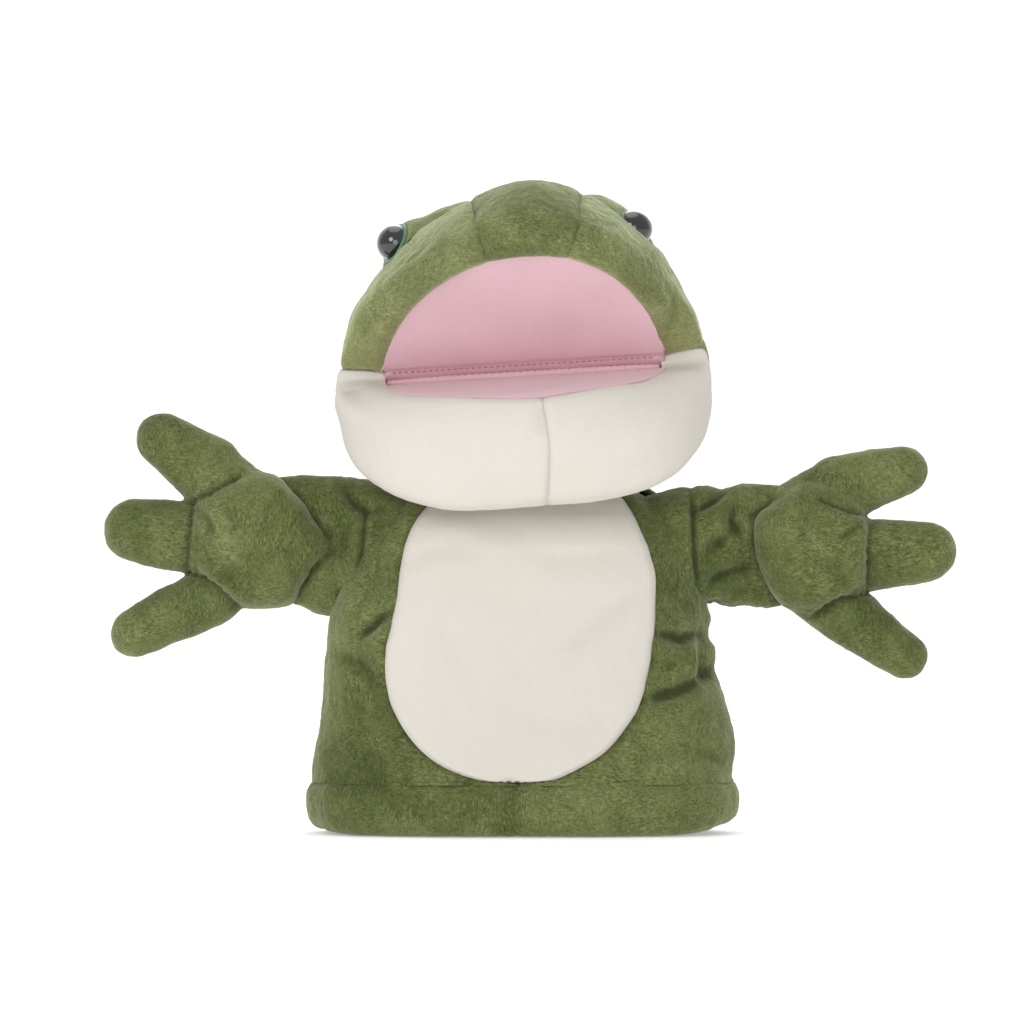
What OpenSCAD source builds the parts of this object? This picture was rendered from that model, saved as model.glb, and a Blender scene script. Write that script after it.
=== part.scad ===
// Plush frog hand puppet, open at the hem for a hand.
// +X is the puppet's left as seen from the front, +Z is up, the puppet faces -Y.
// Origin: centre of the bounding box in X and Y, on the hem's resting plane.

/* [Torso] */
// Half width of the hem band
hem_half_width = 80; // [78:0.5:81]
// Half depth of the hem band, front to back
hem_half_depth = 41.5; // [39:0.5:44]
// Height of the hem band
hem_height = 19; // [17:0.5:19]
// Thickness of the plush fabric
plush = 2; // [1.6:0.1:2.2]
// Thickness of the lining fabric
lining = 1; // [0.8:0.1:1.2]
// Half width of the belly panel at its widest
belly_half_width = 50; // [46:0.5:52]

/* [Arms] */
// Distance from the body's centre to the tip of the arm at -X
reach_left = 157.2; // [156:0.1:158]
// Distance from the body's centre to the tip of the arm at +X
reach_right = 162.8; // [162:0.1:164]
// Height of the sleeve's axis
arm_z = 109; // [108:0.5:110]
// Half height of a sleeve
sleeve_half_height = 22.4; // [21:0.2:22.4]
// Half depth of a sleeve
sleeve_half_depth = 18.5; // [17:0.5:18.5]
// Radius of a palm pad
palm_r = 24.5; // [23.5:0.1:24.5]
// Half thickness of a palm pad
palm_half_thickness = 14; // [12:0.5:15]

/* [Head] */
// Half width of the head, also half the length of the mouth's crease
head_half_width = 69.4; // [68:0.2:70]
// Height of the mouth's crease above the hem
crease_z = 172; // [171:0.5:173]
// Roll of the head, raising the +X side
head_roll = 3.5; // [0:0.5:4]
// Angle of the palate above the horizontal, mouth open
palate_angle = 51; // [49:1:52]
// Angle of the mouth floor below the horizontal
floor_angle = 8; // [7:1:9]
// Half width of the mouth plates
mouth_half_width = 52.4; // [51:0.2:52.4]
// Length of the mouth plates, crease to lip
mouth_length = 57; // [55:0.5:57]
// Radius of an eye dome
eye_r = 6.8; // [6:0.1:7]

/* [Hidden] */

green = "#6f8048";
light_green = "#8c9a64";
cream = "#e6e0d4";
pink = "#dcb0b9";
body_x = (reach_left - reach_right) / 2;
head_y = 4;
e = 0.3;

// ---------- closed shells and solids from grids of points ----------
function flat(g) = [for (r = g) each r];
function tri_vol(p, f) = let (a = p[f[0]], b = p[f[1]], c = p[f[2]]) a * cross(b, c) / 6;
function sum(v, i = 0, s = 0) = i == len(v) ? s : sum(v, i + 1, s + v[i]);
function oriented(p, fs) = sum([for (f = fs) tri_vol(p, f)]) > 0
  ? [for (f = fs) [f[2], f[1], f[0]]] : fs;
function quad(a, b, c, d) = [[a, b, c], [a, c, d]];

// A patch with thickness: outer and inner grids of the same size
module patch(A, B) {
  m = len(A); n = len(A[0]); k = m * n;
  p = concat(flat(A), flat(B));
  fs = concat(
    [for (i = [0:m-2], j = [0:n-2]) each quad(i*n+j, i*n+j+1, (i+1)*n+j+1, (i+1)*n+j)],
    [for (i = [0:m-2], j = [0:n-2]) each quad(k+i*n+j, k+(i+1)*n+j, k+(i+1)*n+j+1, k+i*n+j+1)],
    [for (j = [0:n-2]) each quad(j, k+j, k+j+1, j+1)],
    [for (j = [0:n-2]) each quad((m-1)*n+j, (m-1)*n+j+1, k+(m-1)*n+j+1, k+(m-1)*n+j)],
    [for (i = [0:m-2]) each quad(i*n, (i+1)*n, k+(i+1)*n, k+i*n)],
    [for (i = [0:m-2]) each quad(i*n+n-1, k+i*n+n-1, k+(i+1)*n+n-1, (i+1)*n+n-1)]);
  polyhedron(p, oriented(p, fs));
}

// A tube with a wall: outer and inner stacks of closed rings; a closed end is flat
module tube(A, B, closed_end = false) {
  m = len(A); n = len(A[0]); k = m * n;
  ca = sum([for (q = A[m-1]) q], 0, [0, 0, 0]) / n;
  cb = sum([for (q = B[m-1]) q], 0, [0, 0, 0]) / n;
  p = concat(flat(A), flat(B), closed_end ? [ca, cb] : []);
  fs = concat(
    [for (i = [0:m-2], j = [0:n-1]) let (q = (j+1) % n) each quad(i*n+j, i*n+q, (i+1)*n+q, (i+1)*n+j)],
    [for (i = [0:m-2], j = [0:n-1]) let (q = (j+1) % n) each quad(k+i*n+j, k+(i+1)*n+j, k+(i+1)*n+q, k+i*n+q)],
    [for (j = [0:n-1]) let (q = (j+1) % n) each quad(j, k+j, k+q, q)],
    closed_end
      ? [for (j = [0:n-1]) let (q = (j+1) % n) each [[(m-1)*n+j, (m-1)*n+q, 2*k], [k+(m-1)*n+q, k+(m-1)*n+j, 2*k+1]]]
      : [for (j = [0:n-1]) let (q = (j+1) % n) each quad((m-1)*n+j, (m-1)*n+q, k+(m-1)*n+q, k+(m-1)*n+j)]);
  polyhedron(p, oriented(p, fs));
}

// A solid between a stack of closed rings, capped at both ends
module solid(A) {
  m = len(A); n = len(A[0]); k = m * n;
  c0 = sum([for (q = A[0]) q], 0, [0, 0, 0]) / n;
  c1 = sum([for (q = A[m-1]) q], 0, [0, 0, 0]) / n;
  p = concat(flat(A), [c0, c1]);
  fs = concat(
    [for (i = [0:m-2], j = [0:n-1]) let (q = (j+1) % n) each quad(i*n+j, i*n+q, (i+1)*n+q, (i+1)*n+j)],
    [for (j = [0:n-1]) let (q = (j+1) % n) [q, j, k]],
    [for (j = [0:n-1]) let (q = (j+1) % n) [(m-1)*n+j, (m-1)*n+q, k+1]]);
  polyhedron(p, oriented(p, fs));
}

function pw(v, q) = sign(v) * pow(abs(v), q);

// ---------- torso ----------
// height, half width, half depth, centre in y
body_rows = [[0, hem_half_width - 1.5, hem_half_depth - 1.5, 0],
  [4, hem_half_width, hem_half_depth, 0], [12, hem_half_width, hem_half_depth, 0],
  [hem_height, hem_half_width - 1, hem_half_depth - 1, 0], [35, 77.4, 38.6, 0], [50, 76, 37, 0],
  [66, 73.8, 35.6, 0], [81, 71, 34, 0], [86, 69.8, 33.2, 0], [92, 68.2, 32.4, 0], [100, 66, 31, 0.5],
  [109, 62.5, 29, 1], [117, 58.5, 26, 1.5], [125, 47, 21, 3]];
function brow(z, c) = lookup(z, [for (r = body_rows) [r[0], r[c]]]);
function bpt(z, t, d) = [body_x + (brow(z, 1) - d) * pw(cos(t), 0.8),
  brow(z, 3) - (brow(z, 2) - d) * pw(sin(t), 0.8), z];
// angle on the ring at which the surface reaches half width w, and depth v
function t_of_x(z, w) = acos(pow(min(1, w / brow(z, 1)), 1.25));
function t_of_y(z, v) = asin(pow(min(1, v / brow(z, 2)), 1.25));
// half depth of the armhole at a height
hole_h = sleeve_half_height + 2;
hole_d = sleeve_half_depth + 5;
function hole(z) = abs(z - arm_z) >= hole_h ? 0 : hole_d * pow(1 - pow(abs(z - arm_z) / hole_h, 2.4), 1 / 2.4);
function side_t(z) = t_of_y(z, hole(z));
// half width of the belly at a height: an egg cut off by the top of the torso
belly_z0 = hem_height + 1.4;
belly_zm = 66;
function belly(z) = z < belly_zm
  ? belly_half_width * pow(max(0, 1 - pow((belly_zm - z) / (belly_zm - belly_z0), 2.2)), 1 / 2.2)
  : belly_half_width * pow(max(0, 1 - pow((z - belly_zm) / 82, 2)), 0.5);
front_z = [hem_height + 0.2, 20.4, 21.6, 24.5, 29, 36, 47, 58, 66, 75, 86, 87.5, 91, 99, 109, 117, 125];
function belly_edge(z) = max(2, belly(z));

module front_panel(s) {
  n = 7;
  function row(z, d) = let (b = t_of_x(z, belly_edge(z)), a = min(side_t(z), b - 6))
    [for (j = [0:n]) let (t = a + (b - a) * j / n) bpt(z, s > 0 ? t : 180 - t, d)];
  // s = -1 is the panel at -X
  patch([for (z = front_z) row(z, 0)], [for (z = front_z) row(z, plush)]);
}
module body_front_left_panel() { color(green) front_panel(-1); }
module body_front_right_panel() { color(green) front_panel(1); }
module belly_panel() {
  zs = [for (z = front_z) if (z > 20) z];
  function row(z, d) = let (b = t_of_x(z, belly_edge(z)))
    [for (j = [0:12]) bpt(z, b + 0.02 + (180 - 2 * b - 0.04) * j / 12, d)];
  color(cream) patch([for (z = zs) row(z, 0)], [for (z = zs) row(z, plush)]);
}
module body_back_panel() {
  zs = [for (z = front_z) if (z != 21.6 && z != 24.5 && z != 20.4 && z != 58) z];
  function row(z, d) = let (a = side_t(z))
    [for (j = [0:16]) bpt(z, 180 + a + 0.02 + (180 - 2 * a - 0.04) * j / 16, d)];
  color(green) patch([for (z = zs) row(z, 0)], [for (z = zs) row(z, plush)]);
}
module hem_band() {
  color(green) {
    zs = [0, 1.2, 4, 12, hem_height];
    ins = [1.2, 0.2, 0, 0, 0];
    thick = [3.2, 4, 4.2, 4, plush];
    tube([for (i = [0:4]) [for (j = [0:39]) bpt(zs[i], j * 9, ins[i])]],
         [for (i = [0:4]) [for (j = [0:39]) bpt(zs[i], j * 9, ins[i] + thick[i])]]);
  }
}
lining_rows = [[5, 74.5, 36, 0], [18, 74, 35.5, 0], [50, 60, 32, 0], [78, 38, 28, 0], [100, 35.5, 24.5, 1], [123.5, 34, 17.4, 3]];
function lpt(r, t, d) = [body_x + (r[1] - d) * pw(cos(t), 0.8), r[3] - (r[2] - d) * pw(sin(t), 0.8), r[0]];
module body_lining() {
  color("#8a9370") tube([for (r = lining_rows) [for (j = [0:31]) lpt(r, j * 11.25, 0)]],
    [for (r = lining_rows) [for (j = [0:31]) lpt(r, j * 11.25, lining)]]);
}

// ---------- neck ----------
neck_rows = [[125.6, 34, 20.5], [129, 34, 21], [133, 34, 21.5], [138, 33.6, 21.6]];
module neck_tube() {
  function np(r, t, d) = [body_x + (r[1] - d) * pw(cos(t), 0.9), 7 - (r[2] - d) * pw(sin(t), 0.9), r[0]];
  color(green) tube([for (r = neck_rows) [for (j = [0:31]) np(r, j * 11.25, 0)]],
    [for (r = neck_rows) [for (j = [0:31]) np(r, j * 11.25, plush)]]);
}

// ---------- arms: drawn for +X, then mirrored ----------
// per side: tip reach, palm centre (x from the body's centre, z), raise of the hand
shoulder_x = 58;
palm_x = [96.7, 99.6];
palm_z = [109.5, 108.6];
function side(s) = s < 0 ? 0 : 1;
module on_arm(s) { translate([body_x, 0, 0]) if (s < 0) mirror([1, 0, 0]) children(); else children(); }
// sleeve's end follows the palm's round heel
function end_x(s, z) = palm_x[side(s)] - sqrt(max(0, pow(palm_r + 0.6, 2) - pow(z - palm_z[side(s)], 2)));
function spt(s, u, t, d, x0, x1) = let (
    hz = lookup(u, [[0, 0.9], [0.25, 0.99], [0.5, 1], [1, 0.96]]),
    z = arm_z + (sleeve_half_height * hz - d) * pw(sin(t), 0.9),
    y = (sleeve_half_depth * hz * lookup(u, [[0, 0.94], [0.25, 0.97], [0.5, 1]]) - d) * pw(cos(t), 0.9))
  [x0 + (end_x(s, z) - x1 - x0) * u, y, z];
us = [0, 0.2, 0.45, 0.7, 1];
module sleeve(s) {
  on_arm(s) tube([for (u = us) [for (j = [0:27]) spt(s, u, j * 360 / 28, 0, shoulder_x - 6, 0)]],
    [for (u = us) [for (j = [0:27]) spt(s, u, j * 360 / 28, plush, shoulder_x - 6, 0)]]);
}
module sleeve_filling(s) {
  on_arm(s) solid([for (u = us) [for (j = [0:23]) let (p = spt(s, u, j * 15, plush + 0.4, 0, 0))
    [shoulder_x - 5 + (palm_x[side(s)] - palm_r - 1.4 - shoulder_x + 5) * u, p[1], p[2]]]]);
}
module left_sleeve() { color(green) sleeve(-1); }
module right_sleeve() { color(green) sleeve(1); }
module left_sleeve_filling() { color("white") sleeve_filling(-1); }
module right_sleeve_filling() { color("white") sleeve_filling(1); }

// fingers: base centre x, z; tip centre x, z; base radius, tip radius
fingers_left = [[121.4, 139.4, 135.8, 147.6, 11.4, 9.4],
  [129.0, 110.8, 145.6, 113.4, 12.4, 11.6],
  [124.2, 86.8, 145.8, 75.4, 10.2, 9.2]];
fingers_right = [[122.8, 131.6, 143.6, 140.6, 11.4, 9.2],
  [132.0, 106.0, 151.6, 107.2, 12.2, 11.2],
  [125.4, 81.6, 144.4, 66.6, 10.2, 9.0]];
function finger(s, i) = s < 0 ? fingers_left[i] : fingers_right[i];
module capsule(f, d) {
  L = norm([f[2] - f[0], f[3] - f[1]]);
  translate([f[0], 0, f[1]]) rotate([0, 90 - atan2(f[3] - f[1], f[2] - f[0]), 0]) {
    sphere(r = f[4] - d, $fn = 48);
    cylinder(h = L, r1 = f[4] - d, r2 = f[5] - d, $fn = 48);
    translate([0, 0, L]) sphere(r = f[5] - d, $fn = 48);
  }
}
module finger_shell(s, i) { color(green) on_arm(s) difference() { capsule(finger(s, i), 0); capsule(finger(s, i), plush); } }
module finger_core(s, i) { color("white") on_arm(s) capsule(finger(s, i), plush + e); }

// palm pad: a round cushion with a socket at each finger
module pad(d) {
  h = palm_half_thickness - d; r = palm_r - d;
  rotate([90, 0, 0]) rotate_extrude($fn = 72)
    polygon(concat([[0, -h]], [for (a = [-80:10:80]) [r * pow(cos(a), 0.62), h * pw(sin(a), 0.8)]], [[0, h]]));
}
module palm(s, d) {
  difference() {
    translate([palm_x[side(s)], 0, palm_z[side(s)]]) pad(d);
    for (i = [0:2]) translate([finger(s, i)[0], 0, finger(s, i)[1]]) sphere(r = finger(s, i)[4] + 0.45 + d, $fn = 48);
  }
}
module palm_half(s, f) {
  color(green) on_arm(s) intersection() {
    difference() { palm(s, 0); translate([palm_x[side(s)], 0, palm_z[side(s)]]) pad(plush); }
    translate([60, f < 0 ? -40 : 0.02, 60]) cube([80, 39.98, 100]);
  }
}
module left_palm_front() { palm_half(-1, -1); }
module left_palm_back() { palm_half(-1, 1); }
module right_palm_front() { palm_half(1, -1); }
module right_palm_back() { palm_half(1, 1); }
module left_palm_filling() { color("white") on_arm(-1) palm(-1, plush + e); }
module right_palm_filling() { color("white") on_arm(1) palm(1, plush + e); }
module left_upper_finger() { finger_shell(-1, 0); }
module left_middle_finger() { finger_shell(-1, 1); }
module left_lower_finger() { finger_shell(-1, 2); }
module right_upper_finger() { finger_shell(1, 0); }
module right_middle_finger() { finger_shell(1, 1); }
module right_lower_finger() { finger_shell(1, 2); }
module left_upper_finger_filling() { finger_core(-1, 0); }
module left_middle_finger_filling() { finger_core(-1, 1); }
module left_lower_finger_filling() { finger_core(-1, 2); }
module right_upper_finger_filling() { finger_core(1, 0); }
module right_middle_finger_filling() { finger_core(1, 1); }
module right_lower_finger_filling() { finger_core(1, 2); }

// ---------- head: planes through the mouth's crease ----------
// a = angle above the horizontal, from the front, over the top, to the back
module on_head() { translate([body_x, head_y, crease_z]) rotate([0, -head_roll, 0]) children(); }
function hp(a, w, r, n, t) = let (x = -w * pw(cos(t), 2 / n), q = r * pow(sin(t), 2 / n))
  [x, -q * cos(a), q * sin(a)];
// upper rows: angle, half width, radius
W = head_half_width;
PA = palate_angle;
up_out = [[PA, mouth_half_width + 0.6, mouth_length + 0.7], [PA, 61, 62], [PA + 3.5, 66.5, 66.5], [PA + 9, W, 70],
  [70, W, 72.2], [82, W, 72.8], [95, W, 72.2], [108, W, 70.8], [121, W, 69]];
up_in = [[PA + 2.6, mouth_half_width + 0.6, mouth_length + 0.7], [PA + 2.6, 60.2, 61.2], [PA + 5, 64.6, 64.6], [PA + 9.6, W - 2, 68],
  [70, W - 2, 70.2], [82, W - 2, 70.8], [95, W - 2, 70.2], [108, W - 2, 68.8], [121, W - 2, 67]];
function seam_t(i) = lookup(i, [[0, 75.5], [3, 73], [8, 69]]);
module up_panel(rows_a, rows_b, n, lo, hi) {
  k = len(rows_a) - 1;
  patch([for (i = [0:k]) [for (j = [0:n]) let (r = rows_a[i]) hp(r[0], r[1], r[2], 2, lo[i] + (hi[i] - lo[i]) * j / n)]],
        [for (i = [0:k]) [for (j = [0:n]) let (r = rows_b[i]) hp(r[0], r[1], r[2], 2, lo[i] + (hi[i] - lo[i]) * j / n)]]);
}
module crown_panel() { color(light_green) on_head() up_panel(up_out, up_in, 5, [for (i = [0:8]) seam_t(i)], [for (i = [0:8]) 180 - seam_t(i)]); }
module left_cheek_panel() { color(light_green) on_head() up_panel(up_out, up_in, 9, [for (i = [0:8]) 4], [for (i = [0:8]) seam_t(i)]); }
module right_cheek_panel() { color(light_green) on_head() up_panel(up_out, up_in, 9, [for (i = [0:8]) 180 - seam_t(i)], [for (i = [0:8]) 176]); }
back_a = [121.02, 135, 150, 165, 178.5];
back_r = [69, 66.4, 63, 60, 58];
module head_back_panel() {
  color(light_green) on_head() patch(
    [for (i = [0:4]) [for (j = [0:18]) hp(back_a[i], W, back_r[i], 2, 4 + 172 * j / 18)]],
    [for (i = [0:4]) [for (j = [0:18]) hp(back_a[i], W - 2, back_r[i] - 2, 2, 4 + 172 * j / 18)]]);
}
// skin surface, and an outward direction on it
function up_r(a) = lookup(a, [for (r = up_out) if (r[0] > PA) [r[0], r[2]]]);
function skin(a, t, h) = hp(a, W + h, up_r(a) + h, 2, t);
mound_a = 103; mound_t = 55; mound_da = 17; mound_dt = 19;
function bump(u, v) = 5 * pow(max(0, 1 - u * u), 0.75) * pow(max(0, 1 - v * v), 0.75);
module mound(s) {
  // grid over a disc-like patch of the skin
  us = [for (i = [-5:5]) sin(i * 18)];
  function g(h0, k) = [for (u = us) [for (v = us)
    skin(mound_a + mound_da * u, mound_t + mound_dt * v, h0 + k * bump(u, v))]];
  if (s < 0) patch(g(0.5, 1), g(0.06, 0)); else mirror([1, 0, 0]) patch(g(0.5, 1), g(0.06, 0));
}
module left_eye_mound() { color(light_green) on_head() mound(-1); }
module right_eye_mound() { color(light_green) on_head() mound(1); }
// eye: dome with a ribbed shank through the plush and a washer behind it
eye_at = [45.6, 3.4, 52.9];
eye_dir = [0.80, -0.36, 0.42];
module on_eye(s) {
  L = norm(eye_dir);
  b = acos(eye_dir[2] / L); c = atan2(eye_dir[1], eye_dir[0]);
  on_head() mirror([s < 0 ? 1 : 0, 0, 0]) translate(eye_at) rotate([0, b, c]) children();
}
module eye(s) {
  color("black") on_eye(s) {
    intersection() { translate([0, 0, -0.6]) sphere(r = eye_r + 0.2, $fn = 64); cylinder(h = 12, r = 12, $fn = 64); }
    translate([0, 0, -14]) cylinder(h = 14.01, r = 2, $fn = 32);
  }
}
module rim(s) { color("#8cab93") on_eye(s) translate([0, 0, -0.9]) difference() { cylinder(h = 0.85, r = eye_r + 1.1, $fn = 64); translate([0, 0, -1]) cylinder(h = 4, r = 2.2, $fn = 32); } }
module washer(s) { color("white") on_eye(s) translate([0, 0, -13]) difference() { cylinder(h = 1.6, r = 6, $fn = 48); translate([0, 0, -1]) cylinder(h = 4, r = 2.03, $fn = 32); } }
module left_eye() { eye(-1); }
module right_eye() { eye(1); }
module left_eye_rim() { rim(-1); }
module right_eye_rim() { rim(1); }
module left_eye_washer() { washer(-1); }
module right_eye_washer() { washer(1); }

// mouth plates: half ovals lying in a plane through the crease
module half_oval(w, l, h, r0) {
  linear_extrude(h) polygon(concat([[w * 0.985, r0], [-w * 0.985, r0]],
    [for (t = [12:6:168]) [-w * cos(t), max(r0 + 0.5, l * sin(t))]]));
}
module palate() { color(pink) on_head() rotate([-PA, 0, 0]) mirror([0, 1, 0]) half_oval(mouth_half_width, mouth_length, 1.4, 1.8); }
module upper_mouth_board() { color("#9a9a94") on_head() rotate([-PA, 0, 0]) translate([0, 0, 1.45]) mirror([0, 1, 0]) half_oval(mouth_half_width - 1, mouth_length - 1, 1.6, 3.5); }
module mouth_floor() { color(pink) on_head() rotate([floor_angle, 0, 0]) mirror([0, 1, 0]) mirror([0, 0, 1]) half_oval(mouth_half_width, mouth_length, 1.4, 1.8); }
module lower_mouth_board() { color("#9a9a94") on_head() rotate([floor_angle, 0, 0]) translate([0, 0, -1.45]) mirror([0, 1, 0]) mirror([0, 0, 1]) half_oval(mouth_half_width - 1, mouth_length - 1, 1.6, 3.5); }
module mouth_crease_seam() { color("#c38a98") on_head() rotate([0, 90, 0]) translate([0, 0, -50]) cylinder(h = 100, r = 1.1, $fn = 32); }

// upper filling: a thick crown pad under the skin
module upper_head_filling() {
  fa = [63, 75, 88, 101, 114, 126];
  color("white") on_head() patch(
    [for (a = fa) [for (j = [0:14]) hp(a, W - 5, min(65, up_r(min(a, 121)) - 6.6), 2, 20 + 140 * j / 14)]],
    [for (a = fa) [for (j = [0:14]) hp(a, 47, 51.5, 2, 20 + 140 * j / 14)]]);
}
// finger pocket: a bent flat bag from the back of the crease to above the palate
module finger_pocket() {
  fa = [168, 150, 130, 110, 92, 76, 64];
  function sec(a, d) = [for (j = [0:19]) let (t = j * 18, x = (35 - d) * pw(cos(t), 0.7),
     q = lookup(a, [[64, 30], [92, 28], [168, 26]]) + (lookup(a, [[64, 12], [92, 14.5], [168, 16.5]]) - d) * pw(sin(t), 0.7)) [x, -q * cos(a), q * sin(a)]];
  color("#8a9370") on_head() tube([for (a = fa) sec(a, 0)], [for (i = [0:6]) sec(fa[i] + (i == 6 ? 1.6 : 0), 1.1)], true);
}

// ---------- jaw and lower head ----------
FA = floor_angle;
// angle below the horizontal, half width, radius, squareness
jaw_out = [[FA, mouth_half_width + 0.6, mouth_length + 0.7, 2], [FA, 61.5, 62.5, 2], [FA + 3, 67, 65.4, 2.1], [FA + 9, W, 66.6, 2.3],
  [24, W, 68, 2.6], [34, W, 69.4, 2.8], [42, W, 70.6, 3], [46, W, 69.4, 3], [51, W, 61, 2.8], [57, W, 51, 2.6], [62, W, 46, 2.5]];
jaw_in = [[FA + 2.6, mouth_half_width + 0.6, mouth_length + 0.7, 2], [FA + 2.6, 60.8, 61.8, 2], [FA + 4.6, 65.2, 63.6, 2.1], [FA + 9.6, W - 2, 64.6, 2.3],
  [24, W - 2, 66, 2.6], [34, W - 2, 67.2, 2.8], [41.4, W - 2, 67.4, 3], [44.8, W - 2, 66, 3], [49.6, W - 2, 58.6, 2.8], [56, W - 2, 48.8, 2.6], [62, W - 2, 44, 2.5]];
module jaw_panel(t0, t1) {
  patch([for (r = jaw_out) [for (j = [0:10]) hp(-r[0], r[1], r[2], r[3], t0 + (t1 - t0) * j / 10)]],
        [for (r = jaw_in) [for (j = [0:10]) hp(-r[0], r[1], r[2], r[3], t0 + (t1 - t0) * j / 10)]]);
}
module jaw_left_panel() { color(cream) on_head() jaw_panel(4, 89.97); }
module jaw_right_panel() { color(cream) on_head() jaw_panel(90.03, 176); }
low_a = [62.05, 78, 96, 114, 130];
low_r = [46, 40.5, 39.5, 42, 48];
low_n = [2.5, 2.4, 2.3, 2.3, 2.2];
module throat_panel() {
  patch([for (i = [0:4]) [for (j = [0:5]) hp(-low_a[i], W, low_r[i], low_n[i], 4 + 49 * j / 5)]],
        [for (i = [0:4]) [for (j = [0:5]) hp(-low_a[i], W - 2, low_r[i] - 2, low_n[i], 4 + 49 * j / 5)]]);
}
module left_throat_panel() { color(light_green) on_head() throat_panel(); }
module right_throat_panel() { color(light_green) on_head() mirror([1, 0, 0]) throat_panel(); }
nape_a = [130.05, 142, 154, 167, 179.2];
nape_r = [48, 52, 55.4, 57.4, 58];
nape_n = [2.2, 2.15, 2.1, 2, 2];
module nape_panel() {
  color(light_green) on_head() patch(
    [for (i = [0:4]) [for (j = [0:18]) hp(-nape_a[i], W, nape_r[i], nape_n[i], 4 + 172 * j / 18)]],
    [for (i = [0:4]) [for (j = [0:18]) hp(-nape_a[i], W - 2, nape_r[i] - 2, nape_n[i], 4 + 172 * j / 18)]]);
}
module jaw_filling() {
  fa = [18.5, 25, 34, 42];
  fo = [63, 64.6, 65.6, 64.6];
  color("white") on_head() patch(
    [for (i = [0:3]) [for (j = [0:14]) hp(-fa[i], W - 3, fo[i], 2.4 + i * 0.15, 20 + 140 * j / 14)]],
    [for (i = [0:3]) [for (j = [0:14]) hp(-fa[i], 46, 52, 2.4, 20 + 140 * j / 14)]]);
}
// thumb pocket: a flat bag under the mouth floor, open to the neck
module slot_shape(w, h) { polygon([for (t = [0:15:345]) [w * pw(cos(t), 0.7), h * pw(sin(t), 0.8)]]); }
module thumb_pocket() {
  color("#8a9370") on_head() translate([0, -7, -20.5]) rotate([90, 0, 0]) difference() {
    linear_extrude(32) slot_shape(19, 9.5);
    translate([0, 0, -1]) linear_extrude(31.9) slot_shape(17.9, 8.4);
  }
}

body_back_panel();
body_front_left_panel();
body_front_right_panel();
belly_panel();
hem_band();
body_lining();
neck_tube();
left_sleeve();
right_sleeve();
left_sleeve_filling();
right_sleeve_filling();
left_palm_front();
left_palm_back();
left_palm_filling();
right_palm_front();
right_palm_back();
right_palm_filling();
left_upper_finger();
left_middle_finger();
left_lower_finger();
right_upper_finger();
right_middle_finger();
right_lower_finger();
left_upper_finger_filling();
left_middle_finger_filling();
left_lower_finger_filling();
right_upper_finger_filling();
right_middle_finger_filling();
right_lower_finger_filling();
crown_panel();
left_cheek_panel();
right_cheek_panel();
head_back_panel();
left_eye_mound();
right_eye_mound();
left_eye();
right_eye();
left_eye_rim();
right_eye_rim();
left_eye_washer();
right_eye_washer();
palate();
upper_mouth_board();
upper_head_filling();
finger_pocket();
jaw_left_panel();
jaw_right_panel();
left_throat_panel();
right_throat_panel();
nape_panel();
mouth_floor();
lower_mouth_board();
jaw_filling();
thumb_pocket();
mouth_crease_seam();
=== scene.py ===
import bpy, bmesh, math
import numpy as np
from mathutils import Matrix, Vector


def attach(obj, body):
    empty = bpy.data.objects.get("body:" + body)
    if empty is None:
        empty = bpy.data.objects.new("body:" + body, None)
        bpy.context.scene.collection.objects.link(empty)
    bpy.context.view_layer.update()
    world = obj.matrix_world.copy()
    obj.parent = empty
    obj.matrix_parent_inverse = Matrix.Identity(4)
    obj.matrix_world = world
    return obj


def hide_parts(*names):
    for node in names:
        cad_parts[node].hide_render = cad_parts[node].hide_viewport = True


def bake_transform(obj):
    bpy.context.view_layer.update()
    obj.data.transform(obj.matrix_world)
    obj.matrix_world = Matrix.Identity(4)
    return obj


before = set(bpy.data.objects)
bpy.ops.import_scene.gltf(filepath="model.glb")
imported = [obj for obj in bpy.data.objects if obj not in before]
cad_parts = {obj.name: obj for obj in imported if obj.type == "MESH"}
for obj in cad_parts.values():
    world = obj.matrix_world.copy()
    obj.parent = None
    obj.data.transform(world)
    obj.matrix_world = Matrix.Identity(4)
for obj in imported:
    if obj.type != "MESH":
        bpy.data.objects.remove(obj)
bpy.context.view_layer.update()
scene = bpy.context.scene

# ------------------------------------------------------------------ camera, light, floor
D = 2.5
cam_d = bpy.data.cameras.new("camera")
cam = bpy.data.objects.new("camera", cam_d)
scene.collection.objects.link(cam)
scene.camera = cam
cam_d.sensor_width = 36.0
cam_d.lens = 36.0 * D / 0.3851
cam_d.clip_end = 50
cam_d.dof.use_dof = False
cam.location = (-0.0070, -D, 0.1205)
cam.rotation_euler = (math.radians(90), 0, 0)

world = bpy.data.worlds.new("studio")
scene.world = world
world.use_nodes = True
world.node_tree.nodes["Background"].inputs[0].default_value = (1, 1, 1, 1)
world.node_tree.nodes["Background"].inputs[1].default_value = 0.58
scene.view_settings.view_transform = "Standard"
scene.view_settings.look = "None"


def area_light(name, loc, aim, size, power):
    d = bpy.data.lights.new(name, "AREA")
    d.shape = "DISK"
    d.size = size
    d.energy = power
    o = bpy.data.objects.new(name, d)
    scene.collection.objects.link(o)
    o.location = loc
    o.rotation_euler = (Vector(aim) - Vector(loc)).to_track_quat("-Z", "Y").to_euler()


area_light("key", (-0.95, -1.7, 1.05), (0, 0, 0.12), 0.9, 9.8)
area_light("front", (0.0, -2.3, 0.45), (0, 0, 0.12), 1.2, 8.0)
area_light("top", (-0.1, 0.1, 1.3), (0, 0, 0.12), 0.9, 2.2)
area_light("back", (0.2, 1.0, 0.8), (0, 0, 0.12), 0.9, 3.0)

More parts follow.
